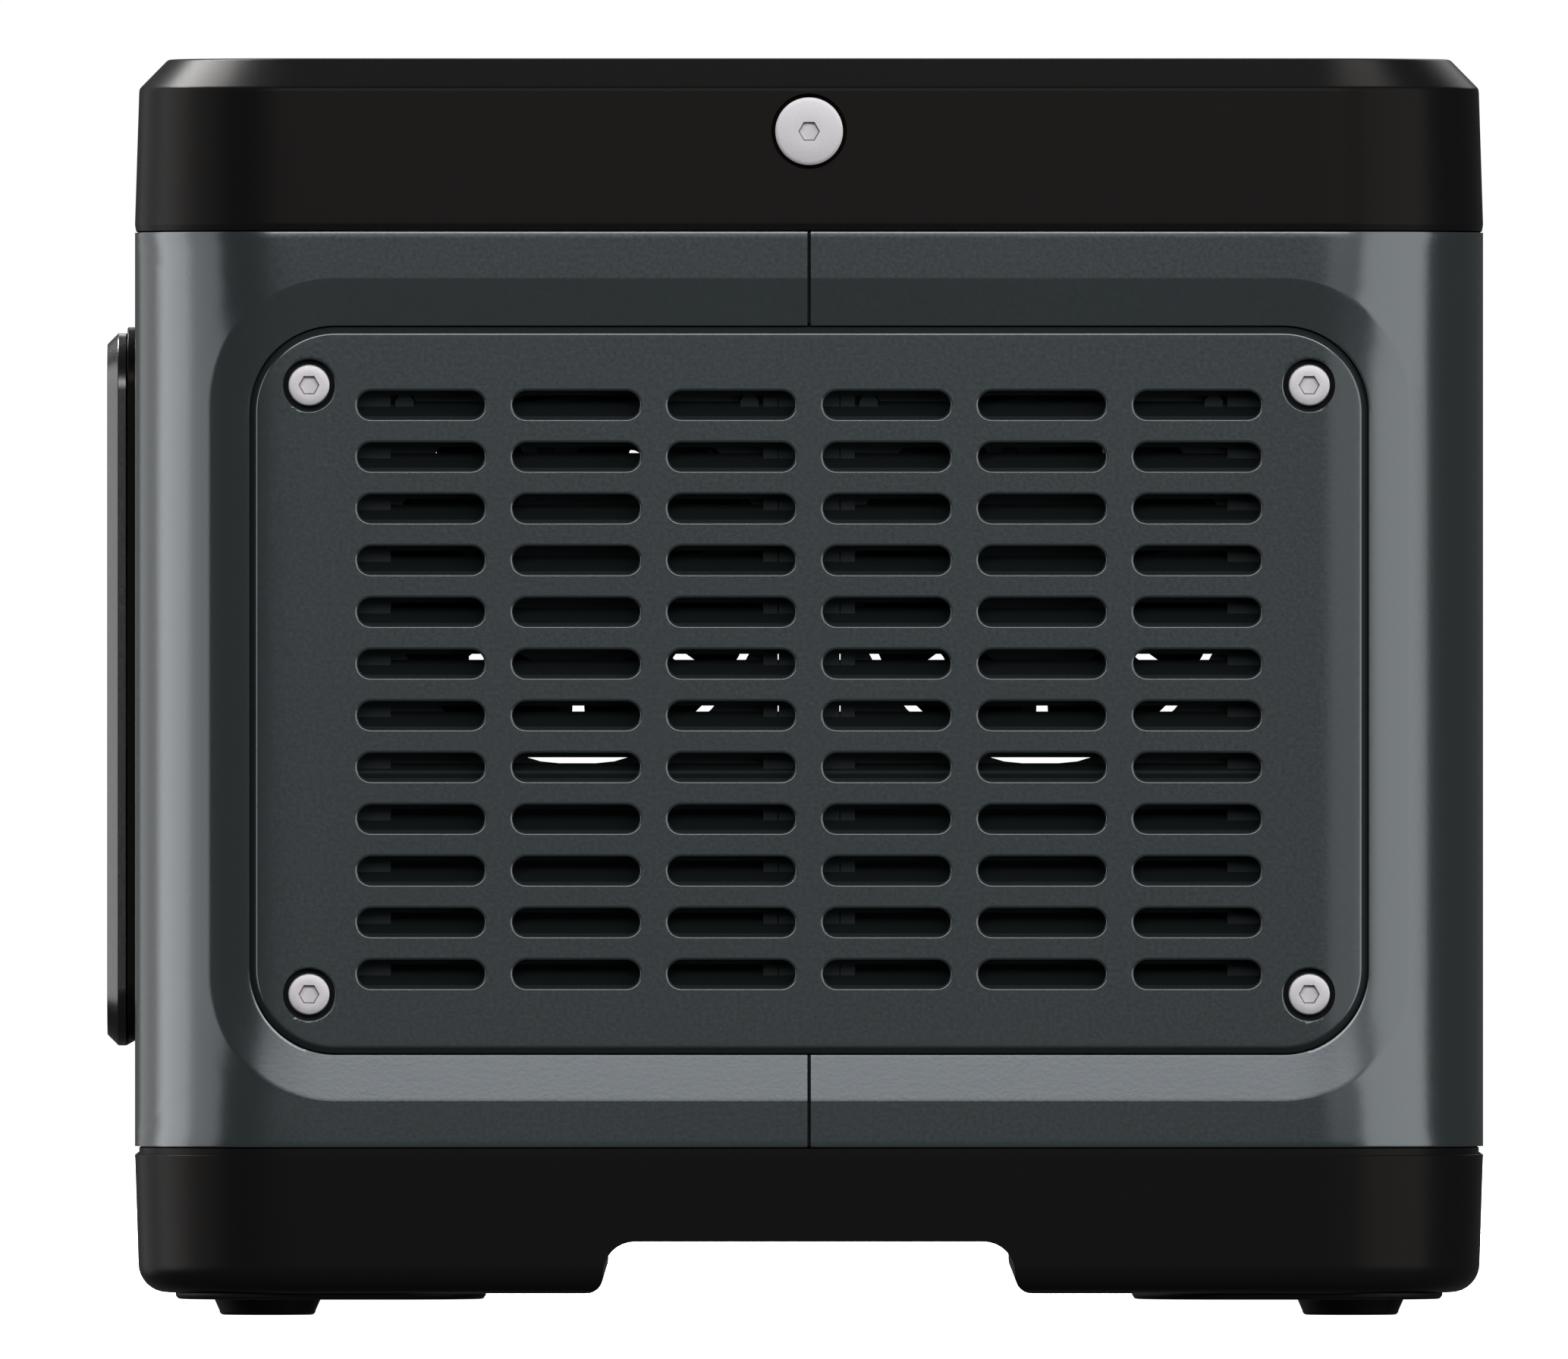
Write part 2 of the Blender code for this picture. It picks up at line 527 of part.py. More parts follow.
# Front panel: back plate on the case, bezel round it and the face plate that carries the controls
FRONT = -DEPTH / 2
PLATE_PROUD, FACE_THICK = 0.0018, 0.0022
PLATE_BACK, PLATE_FACE = FRONT - GAP, FRONT - PLATE_PROUD
BEZEL_FACE, BEZEL_CHAMFER, BEZEL_ROUND = FRONT - FRONT_PROUD, 0.0029, 0.012
FACE_BACK = PLATE_FACE - GAP
FACE_FRONT = FACE_BACK - FACE_THICK
BEZEL_HALF, BEZEL_LOW, BEZEL_HIGH = 0.1495, 0.0558, 0.2041
FLANGE_LOW, FLANGE_HIGH = 0.0568, VENT_HIGH
FACE_HALF, FACE_LOW, FACE_HIGH = 0.1387, 0.0668, 0.1932
HOLE_HALF, HOLE_LOW, HOLE_HIGH = 0.135, 0.069, 0.191

front_hole = ((-HOLE_HALF, FRONT - PAST, HOLE_LOW), (HOLE_HALF, FRONT + CORNER / 2, HOLE_HIGH))
cut(front_shell, block(*front_hole))
backplate = slab((-BEZEL_HALF, PLATE_BACK, FLANGE_LOW), (BEZEL_HALF, PLATE_FACE, FLANGE_HIGH), Y,
                 BEZEL_ROUND, 3)
front_backplate = part("front_backplate", backplate, "black plastic")
cut(front_backplate, block(*front_hole))
bezel = slab((-BEZEL_HALF, FACE_BACK, BEZEL_LOW), (BEZEL_HALF, BEZEL_FACE, BEZEL_HIGH), Y, BEZEL_ROUND, 3)
round_edges(bezel, BEZEL_CHAMFER, 1, lies_at(Y, BEZEL_FACE))
front_bezel = part("front_bezel", bezel, "black plastic")
cut(front_bezel, block((-FACE_HALF - GAP, FACE_BACK + PAST, FACE_LOW - GAP),
                       (FACE_HALF + GAP, BEZEL_FACE - PAST, FACE_HIGH + GAP)))
face_plate = part("face_plate", block((-FACE_HALF, FACE_BACK, FACE_LOW), (FACE_HALF, FACE_FRONT, FACE_HIGH)),
                  "gloss black")


def face_block(x, z, width, height, front, back, radius=0.0, steps=3):
    """A block seen as width by height from the front, with its corners rounded."""
    low, high = (x - width / 2, front, z - height / 2), (x + width / 2, back, z + height / 2)
    return slab(low, high, Y, radius, steps) if radius else block(low, high)


def through_face(x, z, width, height, radius=0.0):
    """Clear a hole in the face plate with the usual gap all round."""
    cut(face_plate, face_block(x, z, width + 2 * GAP, height + 2 * GAP, FACE_FRONT - PAST, FACE_BACK + PAST,
                               radius + GAP if radius else 0))


# Display
DISPLAY_Z, DISPLAY_WIDE, DISPLAY_TALL, DISPLAY_ROUND = 0.168, 0.096, 0.036, 0.003
MODULE_MARGIN, MODULE_BACK = 0.004, FRONT + 0.0065
CONTROL_WIDE, CONTROL_TALL, BOARD_THICK = 0.130, 0.042, 0.0016
through_face(0, DISPLAY_Z, DISPLAY_WIDE, DISPLAY_TALL, DISPLAY_ROUND)
window = face_block(0, DISPLAY_Z, DISPLAY_WIDE, DISPLAY_TALL, FACE_FRONT, FACE_BACK, DISPLAY_ROUND)
part("display_window", window, "tinted glass")
module = face_block(0, DISPLAY_Z, DISPLAY_WIDE + MODULE_MARGIN, DISPLAY_TALL + MODULE_MARGIN, PLATE_FACE,
                    MODULE_BACK)
part("display_module", module, "black plastic")
board_face = MODULE_BACK + GAP
board = face_block(0, DISPLAY_Z, CONTROL_WIDE, CONTROL_TALL, board_face, board_face + BOARD_THICK)
part("control_board", board, "green board")

# Push buttons, each with a collar behind the face plate
BUTTON_FACE, COLLAR, COLLAR_BACK = FACE_FRONT - 0.0009, 0.0015, FACE_BACK + 0.0013
BUTTONS = {"power_button": (0.075, 0.168, 0.018, 0.018, 0.0088),
           "ac_button": (0.073, 0.132, 0.024, 0.010, 0.0048),
           "dc_button": (-0.030, 0.132, 0.024, 0.010, 0.0048)}
for name, (x, z, wide, tall, radius) in BUTTONS.items():
    through_face(x, z, wide, tall, radius)
    button = part(name, face_block(x, z, wide, tall, BUTTON_FACE, COLLAR_BACK, radius), "black plastic",
                  (x, FACE_FRONT, z))
    join(button, face_block(x, z, wide + 2 * COLLAR, tall + 2 * COLLAR, FACE_BACK + GAP, COLLAR_BACK, radius))

# Mains outlets: two blade slots and an earth hole in each
OUTLET_Z, OUTLET_WIDE, OUTLET_TALL, SOCKET_ROUND = 0.098, 0.036, 0.040, 0.004
OUTLET_FACE, OUTLET_BACK, OUTLET_DEEP = FACE_FRONT - 0.0005, FRONT + 0.012, 0.0145
BLADE_SPACE, BLADE_WIDE, BLADE_TALL, BLADE_RAISE = 0.0127, 0.0024, 0.0085, 0.004
EARTH_DROP, EARTH_HOLE = 0.0119, 0.0026
for number, x in enumerate((0.034, 0.073, 0.112), 1):
    through_face(x, OUTLET_Z, OUTLET_WIDE, OUTLET_TALL, SOCKET_ROUND)
    body = face_block(x, OUTLET_Z, OUTLET_WIDE, OUTLET_TALL, OUTLET_FACE, OUTLET_BACK, SOCKET_ROUND)
    outlet = part(f"ac_outlet_{number}", body, "black plastic")
    mouth, blade_z = OUTLET_FACE - PAST, OUTLET_Z + BLADE_RAISE
    for side in ENDS:
        cut(outlet, face_block(x + side * BLADE_SPACE / 2, blade_z, BLADE_WIDE, BLADE_TALL, mouth,
                               OUTLET_FACE + OUTLET_DEEP))
    earth_z = blade_z - EARTH_DROP
    cut(outlet, rod((x, mouth, earth_z), (x, OUTLET_FACE + OUTLET_DEEP, earth_z), EARTH_HOLE, 10))

# USB ports: two wide ones over two small ones
USB_X, USB_WIDE, USB_TALL, USB_SPREAD, USB_DEEP = -0.030, 0.050, 0.036, 0.011, 0.014
USB_MOUTHS = ((0.008, 0.0128, 0.0056), (-0.008, 0.0090, 0.0032))
through_face(USB_X, OUTLET_Z, USB_WIDE, USB_TALL, SOCKET_ROUND)
body = face_block(USB_X, OUTLET_Z, USB_WIDE, USB_TALL, OUTLET_FACE, OUTLET_BACK, SOCKET_ROUND)
usb_ports = part("usb_ports", body, "black plastic")
for side in ENDS:
    for raised, wide, tall in USB_MOUTHS:
        x, z = USB_X + side * USB_SPREAD, OUTLET_Z + raised
        cut(usb_ports, face_block(x, z, wide, tall, OUTLET_FACE - PAST, OUTLET_FACE + USB_DEEP))

# Round low-voltage sockets: the deep car socket and a pair of barrel jacks
CAR_X, CAR_Z, CAR_RIM, CAR_BODY, CAR_BORE = -0.098, 0.163, 0.0165, 0.0130, 0.0106
CAR_LIP, CAR_BACK, CAR_FLOOR = FACE_FRONT - 0.0013, FRONT + 0.042, FRONT + 0.036
cut(face_plate, rod((CAR_X, FACE_FRONT - PAST, CAR_Z), (CAR_X, FACE_BACK + PAST, CAR_Z), CAR_BODY + GAP, 24))
car_socket = part("car_socket", rod((CAR_X, FACE_FRONT - GAP, CAR_Z), (CAR_X, CAR_BACK, CAR_Z), CAR_BODY, 24),
                  "black plastic")
join(car_socket, rod((CAR_X, CAR_LIP, CAR_Z), (CAR_X, FACE_FRONT - GAP, CAR_Z), CAR_RIM, 24))
cut(car_socket, rod((CAR_X, BEZEL_FACE - PAST, CAR_Z), (CAR_X, CAR_FLOOR, CAR_Z), CAR_BORE, 20))
JACK_WIDE, JACK_TALL, JACK_BORE, JACK_DEEP, JACK_SPREAD = 0.034, 0.020, 0.0040, 0.012, 0.008
JACK_PIN, JACK_PIN_TIP = 0.0011, OUTLET_FACE + 0.002
through_face(CAR_X, OUTLET_Z, JACK_WIDE, JACK_TALL, SOCKET_ROUND)
body = face_block(CAR_X, OUTLET_Z, JACK_WIDE, JACK_TALL, OUTLET_FACE, OUTLET_BACK, SOCKET_ROUND)
dc_jacks = part("dc_jacks", body, "black plastic")
for side in ENDS:
    x, floor = CAR_X + side * JACK_SPREAD, OUTLET_FACE + JACK_DEEP
    cut(dc_jacks, rod((x, OUTLET_FACE - PAST, OUTLET_Z), (x, floor, OUTLET_Z), JACK_BORE, 12))
    join(dc_jacks, rod((x, JACK_PIN_TIP, OUTLET_Z), (x, floor + PAST, OUTLET_Z), JACK_PIN, 8))

# Rear input bay, sunk into the case behind a hinged cover
REAR = DEPTH / 2
BAY_HALF, BAY_LOW, BAY_HIGH, BAY_FLOOR, BAY_WALL = 0.0615, 0.1485, 0.2015, 0.120, 0.003
FLANGE = 0.006
input_bay = part("input_bay", block((-BAY_HALF - BAY_WALL, BAY_FLOOR - BAY_WALL, BAY_LOW - BAY_WALL),
                                    (BAY_HALF + BAY_WALL, REAR - GAP, BAY_HIGH + BAY_WALL)), "black plastic")
flange_reach = BAY_WALL + FLANGE
join(input_bay, block((-BAY_HALF - flange_reach, REAR - 2 * WALL, BAY_LOW - flange_reach),
                      (BAY_HALF + flange_reach, REAR - WALL - GAP, BAY_HIGH + flange_reach)))
cut(input_bay, block((-BAY_HALF, BAY_FLOOR, BAY_LOW), (BAY_HALF, REAR + PAST, BAY_HIGH)))
cut(rear_shell, block((-BAY_HALF - BAY_WALL - GAP, REAR - CORNER / 2, BAY_LOW - BAY_WALL - GAP),
                      (BAY_HALF + BAY_WALL + GAP, REAR + PAST, BAY_HIGH + BAY_WALL + GAP)))
INLET_Z, INLET_BACK, INLET_FACE, INLET_FLOOR = 0.172, 0.104, 0.1235, 0.108
INLET_ROUND, INLET_PIN_TIP = 0.002, 0.1195


def inlet(name, x, wide, tall, rim, pins):
    """A sunk power inlet in the bay's floor, with its contact pins standing in the cavity."""
    bay_hole = face_block(x, INLET_Z, wide + 2 * GAP, tall + 2 * GAP, BAY_FLOOR - CORNER, BAY_FLOOR + PAST)
    cut(input_bay, bay_hole)
    body = part(name, face_block(x, INLET_Z, wide, tall, INLET_BACK, INLET_FACE), "black plastic")
    mouth = INLET_FACE + PAST
    cut(body, face_block(x, INLET_Z, wide - 2 * rim, tall - 2 * rim, INLET_FLOOR, mouth, INLET_ROUND, 1))
    for across, up, pin_wide, pin_tall in pins:
        pin = face_block(x + across, INLET_Z + up, pin_wide, pin_tall, INLET_FLOOR - PAST, INLET_PIN_TIP)
        join(body, pin)


inlet("ac_inlet", -0.034, 0.030, 0.024, 0.0034,
      [(-0.007, -0.002, 0.002, 0.004), (0.007, -0.002, 0.002, 0.004), (0, 0.002, 0.002, 0.004)])
inlet("solar_inlet", 0.010, 0.024, 0.018, 0.0033, [(-0.004, 0, 0.0034, 0.0034), (0.004, 0, 0.0034, 0.0034)])

# Reset button, and the cover that hangs on a pin across the top of the bay
RESET_X, RESET_RADIUS, RESET_FACE, RESET_COLLAR, COLLAR_THICK = 0.044, 0.005, 0.1230, 0.0068, 0.0012
bay_back = BAY_FLOOR - BAY_WALL
collar_back = bay_back - GAP - COLLAR_THICK
cut(input_bay, rod((RESET_X, bay_back - PAST, INLET_Z), (RESET_X, BAY_FLOOR + PAST, INLET_Z),
                   RESET_RADIUS + GAP, 16))
stem = rod((RESET_X, collar_back, INLET_Z), (RESET_X, RESET_FACE, INLET_Z), RESET_RADIUS, 16)
reset_button = part("reset_button", stem, "white nylon", (RESET_X, RESET_FACE, INLET_Z))
join(reset_button, rod((RESET_X, collar_back, INLET_Z), (RESET_X, bay_back - GAP, INLET_Z), RESET_COLLAR, 16))
HINGE_Y, HINGE_Z, HINGE_PIN, HINGE_BARREL = REAR - 0.0032, 0.1980, 0.0010, 0.0026
COVER_IN, COVER_OUT, COVER_TOP, COVER_NOTCH = REAR - 0.0028, REAR - 0.0004, 0.1995, 0.008
cover_half, pin_half = BAY_HALF - GAP, BAY_HALF + BAY_WALL - GAP


def hinge_rod(reach, radius, steps=10):
    """A rod along the cover's hinge, reaching equally far both ways."""
    return rod((-reach, HINGE_Y, HINGE_Z), (reach, HINGE_Y, HINGE_Z), radius, steps)


flap = block((-cover_half, COVER_IN, BAY_LOW + GAP), (cover_half, COVER_OUT, COVER_TOP))
input_cover = part("input_cover", flap, "black plastic", (0, HINGE_Y, HINGE_Z))
join(input_cover, hinge_rod(cover_half, HINGE_BARREL, 12))
cut(input_cover, hinge_rod(LENGTH, HINGE_PIN + GAP))
cut(input_cover, rod((0, COVER_IN - PAST, BAY_LOW), (0, REAR + PAST, BAY_LOW), COVER_NOTCH, 16))
cut(input_bay, hinge_rod(LENGTH, HINGE_PIN + GAP))
part("cover_hinge_pin", hinge_rod(pin_half, HINGE_PIN), "zinc steel")

# Battery: two rows of wrapped prismatic cells, the management board and the folded deck that closes them in
CELLS, CELL_PITCH, CELL_LOW, CELL_HIGH, CELL_IN, CELL_OUT = 8, 0.0392, 0.0190, 0.098, 0.004, 0.112
GROOVE, GROOVE_DEEP = 0.001, 0.004
row_half = CELLS * CELL_PITCH / 2
for row_name, side in (("front", -1), ("rear", 1)):
    wrapped = block((-row_half, side * CELL_IN, CELL_LOW), (row_half, side * CELL_OUT, CELL_HIGH))
    row = part("cell_block_" + row_name, wrapped, "blue film")
    for joint in range(1, CELLS):
        x = joint * CELL_PITCH - row_half
        cut(row, block((x - GROOVE / 2, side * (CELL_IN - PAST), CELL_HIGH - GROOVE_DEEP),
                       (x + GROOVE / 2, side * (CELL_OUT + PAST), CELL_HIGH + PAST)))
SHEET, DECK_LOW, DECK_HALF_X, DECK_HALF_Y, DECK_SKIRT = 0.0020, 0.1055, 0.1600, 0.112, 0.0225
DECK_HIGH = DECK_LOW + SHEET
POST, POST_X = 0.006, 0.149


def on_posts(deck, low, high):
    """Stands a deck on four square posts."""
    for along, side in corners:
        x, y = along * POST_X, side * (DECK_HALF_Y - POST)
        join(deck, block((x - POST / 2, y - POST / 2, low), (x + POST / 2, y + POST / 2, high)))


deck_sheet = block((-DECK_HALF_X, -DECK_HALF_Y, DECK_LOW), (DECK_HALF_X, DECK_HALF_Y, DECK_HIGH))
battery_deck = part("battery_deck", deck_sheet, "aluminium")
for end in ENDS:
    join(battery_deck, block((end * DECK_HALF_X, -DECK_HALF_Y, DECK_SKIRT),
                             (end * (DECK_HALF_X - SHEET), DECK_HALF_Y, DECK_HIGH - SHEET / 2)))
on_posts(battery_deck, CELL_HIGH + GAP, DECK_LOW + GAP)
BMS_HALF_X, BMS_HALF_Y, BMS_LOW = 0.080, 0.050, 0.1000
CHIP_HALF_X, CHIP_HALF_Y, CHIP_HIGH = 0.006, 0.010, 0.1040
bms_sheet = block((-BMS_HALF_X, -BMS_HALF_Y, BMS_LOW), (BMS_HALF_X, BMS_HALF_Y, BMS_LOW + BOARD_THICK))
bms_board = part("bms_board", bms_sheet, "green board")
for x in (-0.05, 0, 0.05):
    join(bms_board, block((x - CHIP_HALF_X, -CHIP_HALF_Y, BMS_LOW + GAP),
                          (x + CHIP_HALF_X, CHIP_HALF_Y, CHIP_HIGH)))

# Electronics: a tray on posts over the air duct, with the inverter, heat sink and upright charger board
TRAY_LOW, TRAY_HALF_X = 0.141, 0.155
TRAY_HIGH = TRAY_LOW + SHEET
tray_sheet = block((-TRAY_HALF_X, -DECK_HALF_Y, TRAY_LOW), (TRAY_HALF_X, DECK_HALF_Y, TRAY_HIGH))
electronics_tray = part("electronics_tray", tray_sheet, "aluminium")
on_posts(electronics_tray, DECK_HIGH + GAP, TRAY_LOW + GAP)
# A folded tab closes the front third of the air duct, where the outlet wiring runs
TAB_LEFT, TAB_REAR = 0.148, -0.0707
join(electronics_tray, block((TAB_LEFT, -DECK_HALF_Y, DECK_HIGH + GAP),
                             (TAB_LEFT + SHEET, TAB_REAR, TRAY_LOW + GAP)))
BOARD_LOW, BOARD_HALF_Y, INVERTER_LEFT, INVERTER_RIGHT = TRAY_HIGH + 0.003, 0.090, -0.145, -0.020
CAPACITOR_X, CAPACITOR, CAPACITOR_TALL = -0.125, 0.010, 0.0365
CORE_LEFT, CORE_RIGHT, CORE_HALF_Y, CORE_TOP = -0.095, -0.045, 0.032, 0.186
WINDOW_NEAR, WINDOW_FAR, WINDOW_LOW, WINDOW_HIGH = 0.014, 0.022, 0.154, 0.176
inverter_sheet = block((INVERTER_LEFT, -BOARD_HALF_Y, BOARD_LOW),
                       (INVERTER_RIGHT, BOARD_HALF_Y, BOARD_LOW + BOARD_THICK))
inverter_board = part("inverter_board", inverter_sheet, "green board")
for y in (-0.069, -0.0485, 0.042, 0.0725):
    join(inverter_board, rod((CAPACITOR_X, y, BOARD_LOW + GAP), (CAPACITOR_X, y, BOARD_LOW + CAPACITOR_TALL),
                             CAPACITOR, 12))
join(inverter_board, block((CORE_LEFT, -CORE_HALF_Y, BOARD_LOW + GAP), (CORE_RIGHT, CORE_HALF_Y, CORE_TOP)))
for side in ENDS:
    cut(inverter_board, block((CORE_LEFT - PAST, side * WINDOW_NEAR, WINDOW_LOW),
                              (CORE_RIGHT + PAST, side * WINDOW_FAR, WINDOW_HIGH)))
SINK_LEFT, SINK_RIGHT, SINK_BASE, SINK_TOP = 0.030, 0.130, 0.149, 0.176
FIN_GAPS, FIN_PITCH, FIN_GAP = 9, 0.020, 0.016
sink_block = block((SINK_LEFT, -BOARD_HALF_Y, TRAY_HIGH + GAP), (SINK_RIGHT, BOARD_HALF_Y, SINK_TOP))
heat_sink = part("heat_sink", sink_block, "aluminium")
for fin in range(FIN_GAPS):
    y = (fin - (FIN_GAPS - 1) / 2) * FIN_PITCH
    cut(heat_sink, block((SINK_LEFT - PAST, y - FIN_GAP / 2, SINK_BASE),
                         (SINK_RIGHT + PAST, y + FIN_GAP / 2, SINK_TOP + PAST)))
CHARGER_HALF_Y, CHARGER_TOP = 0.095, 0.174
charger = block((0, -CHARGER_HALF_Y, TRAY_HIGH + GAP), (BOARD_THICK, CHARGER_HALF_Y, CHARGER_TOP))
part("charger_board", charger, "green board")
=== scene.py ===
import bmesh
import bpy
import numpy as np
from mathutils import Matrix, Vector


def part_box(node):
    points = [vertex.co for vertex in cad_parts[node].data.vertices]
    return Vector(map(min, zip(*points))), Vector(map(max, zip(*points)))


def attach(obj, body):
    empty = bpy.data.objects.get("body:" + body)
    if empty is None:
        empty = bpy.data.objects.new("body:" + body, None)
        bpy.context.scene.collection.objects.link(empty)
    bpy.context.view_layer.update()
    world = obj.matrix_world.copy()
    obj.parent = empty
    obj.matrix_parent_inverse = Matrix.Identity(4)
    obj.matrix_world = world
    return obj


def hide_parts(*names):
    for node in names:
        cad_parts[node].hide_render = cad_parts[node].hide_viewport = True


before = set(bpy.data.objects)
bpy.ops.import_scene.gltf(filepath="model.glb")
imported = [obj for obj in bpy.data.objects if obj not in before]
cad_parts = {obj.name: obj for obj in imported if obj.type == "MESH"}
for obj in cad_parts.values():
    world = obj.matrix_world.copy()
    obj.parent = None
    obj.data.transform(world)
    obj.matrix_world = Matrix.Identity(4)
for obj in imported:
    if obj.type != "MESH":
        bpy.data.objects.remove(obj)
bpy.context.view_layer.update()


# Stage and camera
# The station is seen square on from its right-hand end by a long lens, so the sides hardly converge.
# A white surround and a white floor stand round it. Soft panels light it from over the lens, right, left and behind.
PHOTO_WIDE, PIXELS_PER_MM, LENS, SENSOR = 2067, 6.357, 1400, 36
VIEW_MIDDLE_Y, VIEW_MIDDLE_Z, SHARP_X = -0.0022, 0.1320, 0.185
frame_width = PHOTO_WIDE / PIXELS_PER_MM / 1000


def linear(hex_colour):
    """An sRGB hex colour as the linear red, green, blue and alpha that shaders take."""
    srgb = np.array([int(hex_colour[at:at + 2], 16) for at in (1, 3, 5)]) / 255
    return (*np.where(srgb <= 0.04045, srgb / 12.92, ((srgb + 0.055) / 1.055) ** 2.4), 1.0)


def add_node(tree, kind, settings=(), links=()):
    """Adds one node, sets its sockets or properties by name, and links its sockets from other nodes."""
    node = tree.nodes.new(kind)
    for name, value in dict(settings).items():
        if isinstance(name, int) or name in node.inputs:
            node.inputs[name].default_value = value
        else:
            setattr(node, name, value)
    for name, (source, output) in dict(links).items():
        tree.links.new(source.outputs[output], node.inputs[name])
    return node


camera_data = bpy.data.cameras.new("camera")
camera_data.lens = LENS
camera_data.sensor_width = SENSOR
camera_data.sensor_fit = "HORIZONTAL"
camera_data.clip_end = 100
camera = bpy.data.objects.new("camera", camera_data)
camera.location = (SHARP_X + frame_width * LENS / SENSOR, VIEW_MIDDLE_Y, VIEW_MIDDLE_Z)
camera.rotation_euler = (np.pi / 2, 0, np.pi / 2)
bpy.context.scene.collection.objects.link(camera)
bpy.context.scene.camera = camera
bpy.context.scene.view_settings.view_transform = "Standard"

world = bpy.data.worlds.new("studio")
bpy.context.scene.world = world
world.use_nodes = True
world.node_tree.nodes.clear()
ROOM_LIGHT = 0.11
seen = add_node(world.node_tree, "ShaderNodeLightPath")
white = add_node(world.node_tree, "ShaderNodeBackground", {"Color": (1, 1, 1, 1), "Strength": 1.0})
room = add_node(world.node_tree, "ShaderNodeBackground", {"Color": linear("#f4f6f8"), "Strength": ROOM_LIGHT})
both = add_node(world.node_tree, "ShaderNodeMixShader", links={0: (seen, "Is Camera Ray"), 1: (room, 0), 2: (white, 0)})
add_node(world.node_tree, "ShaderNodeOutputWorld", links={"Surface": (both, 0)})


def panel_light(name, azimuth, elevation, distance, size, brightness):
    """A soft rectangular panel that faces the station and that the lens doesn't see: azimuth in degrees from the
    lens towards the rear, and a brightness that is worked into watts as brightness x pi x area."""
    turn, lift = np.radians((azimuth, elevation))
    away = np.array((np.cos(turn) * np.cos(lift), np.sin(turn) * np.cos(lift), np.sin(lift)))
    light = bpy.data.lights.new(name, "AREA")
    light.shape = "RECTANGLE"
    light.size, light.size_y = size
    light.energy = brightness * np.pi * size[0] * size[1]
    lamp = bpy.data.objects.new(name, light)
    lamp.location = away * distance + (0, 0, VIEW_MIDDLE_Z)
    lamp.rotation_euler = (np.pi / 2 - lift, 0, turn + np.pi / 2)
    lamp.visible_camera = False
    bpy.context.scene.collection.objects.link(lamp)


panel_light("key", 0, 16.8, 9.0, (7.8, 2.0), 12.2)
panel_light("low_strip", 0, 9.4, 9.0, (7.8, 0.35), 4.5)
panel_light("right_card", 57, 6, 5.0, (4.6, 3.6), 4.3)
panel_light("right_fill", 20, 3, 8.0, (2.8, 1.6), 1.4)
panel_light("left_card", -101, 6, 5.0, (3.2, 3.6), 2.4)
panel_light("left_wide_card", -86, 6, 5.0, (5.2, 3.6), 2.3)
panel_light("left_far_card", -134, 6, 5.0, (2.6, 3.6), 0.8)
panel_light("left_back", -131, 51, 4.0, (1.8, 1.8), 42)
panel_light("rear_fill", 165, 28, 6.0, (4.0, 2.4), 2.0)
panel_light("right_top", 108, 72, 4.0, (1.2, 1.2), 13.4)

FLOOR_REACH = 4.0
floor_mesh = bpy.data.meshes.new("floor")
floor_corners = np.array(((-1, -1, 0), (1, -1, 0), (1, 1, 0), (-1, 1, 0))) * FLOOR_REACH
floor_mesh.from_pydata(floor_corners.tolist(), [], [(0, 1, 2, 3)])
floor = bpy.data.objects.new("floor", floor_mesh)
bpy.context.scene.collection.objects.link(floor)
paper = bpy.data.materials.new("white_paper_floor")
paper.use_nodes = True
paper_shader = paper.node_tree.nodes["Principled BSDF"]
paper_shader.inputs["Base Color"].default_value = linear("#f2f2f2")
paper_shader.inputs["Roughness"].default_value = 0.9
paper_shader.inputs["Emission Color"].default_value = (1, 1, 1, 1)
paper_shader.inputs["Emission Strength"].default_value = 1.0
floor_mesh.materials.append(paper)
floor.visible_glossy = False
floor.visible_diffuse = False


# Base tray
# The bottom of the case is one black ABS moulding with a drafted wall, a round bottom edge and a wide channel that
# runs through under it from end to end. A shadow groove runs round its top, under the grey shells.
base_low, base_high = (np.array(corner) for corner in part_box("base_tray"))
CASE_HALF = (base_high - base_low)[:2] / 2
CASE_MIDDLE = np.array((*(base_high + base_low)[:2] / 2, 0))
CASE_CORNER, CORNER_STEPS = 0.035, 24
BASE_DRAFT, BASE_EDGE, BASE_FLOOR = 0.0007, 0.006, 0.0187
GROOVE_TALL, GROOVE_DEEP, EDGE_SOFT = 0.0014, 0.0009, 0.0002
CHANNEL_HALF, CHANNEL_TOP, CHANNEL_ROUND, CHANNEL_FLARE = 0.0427, 0.0155, 0.0066, 0.0035
UPRIGHT = np.eye(3)


def arc(centre, radius, start, end, steps):
    """Points on a circle: centre + radius x (cos, sin), from one angle to another in degrees."""
    angle = np.radians(np.linspace(start, end, steps + 1))
    return np.array(centre) + radius * np.stack((np.cos(angle), np.sin(angle)), axis=1)


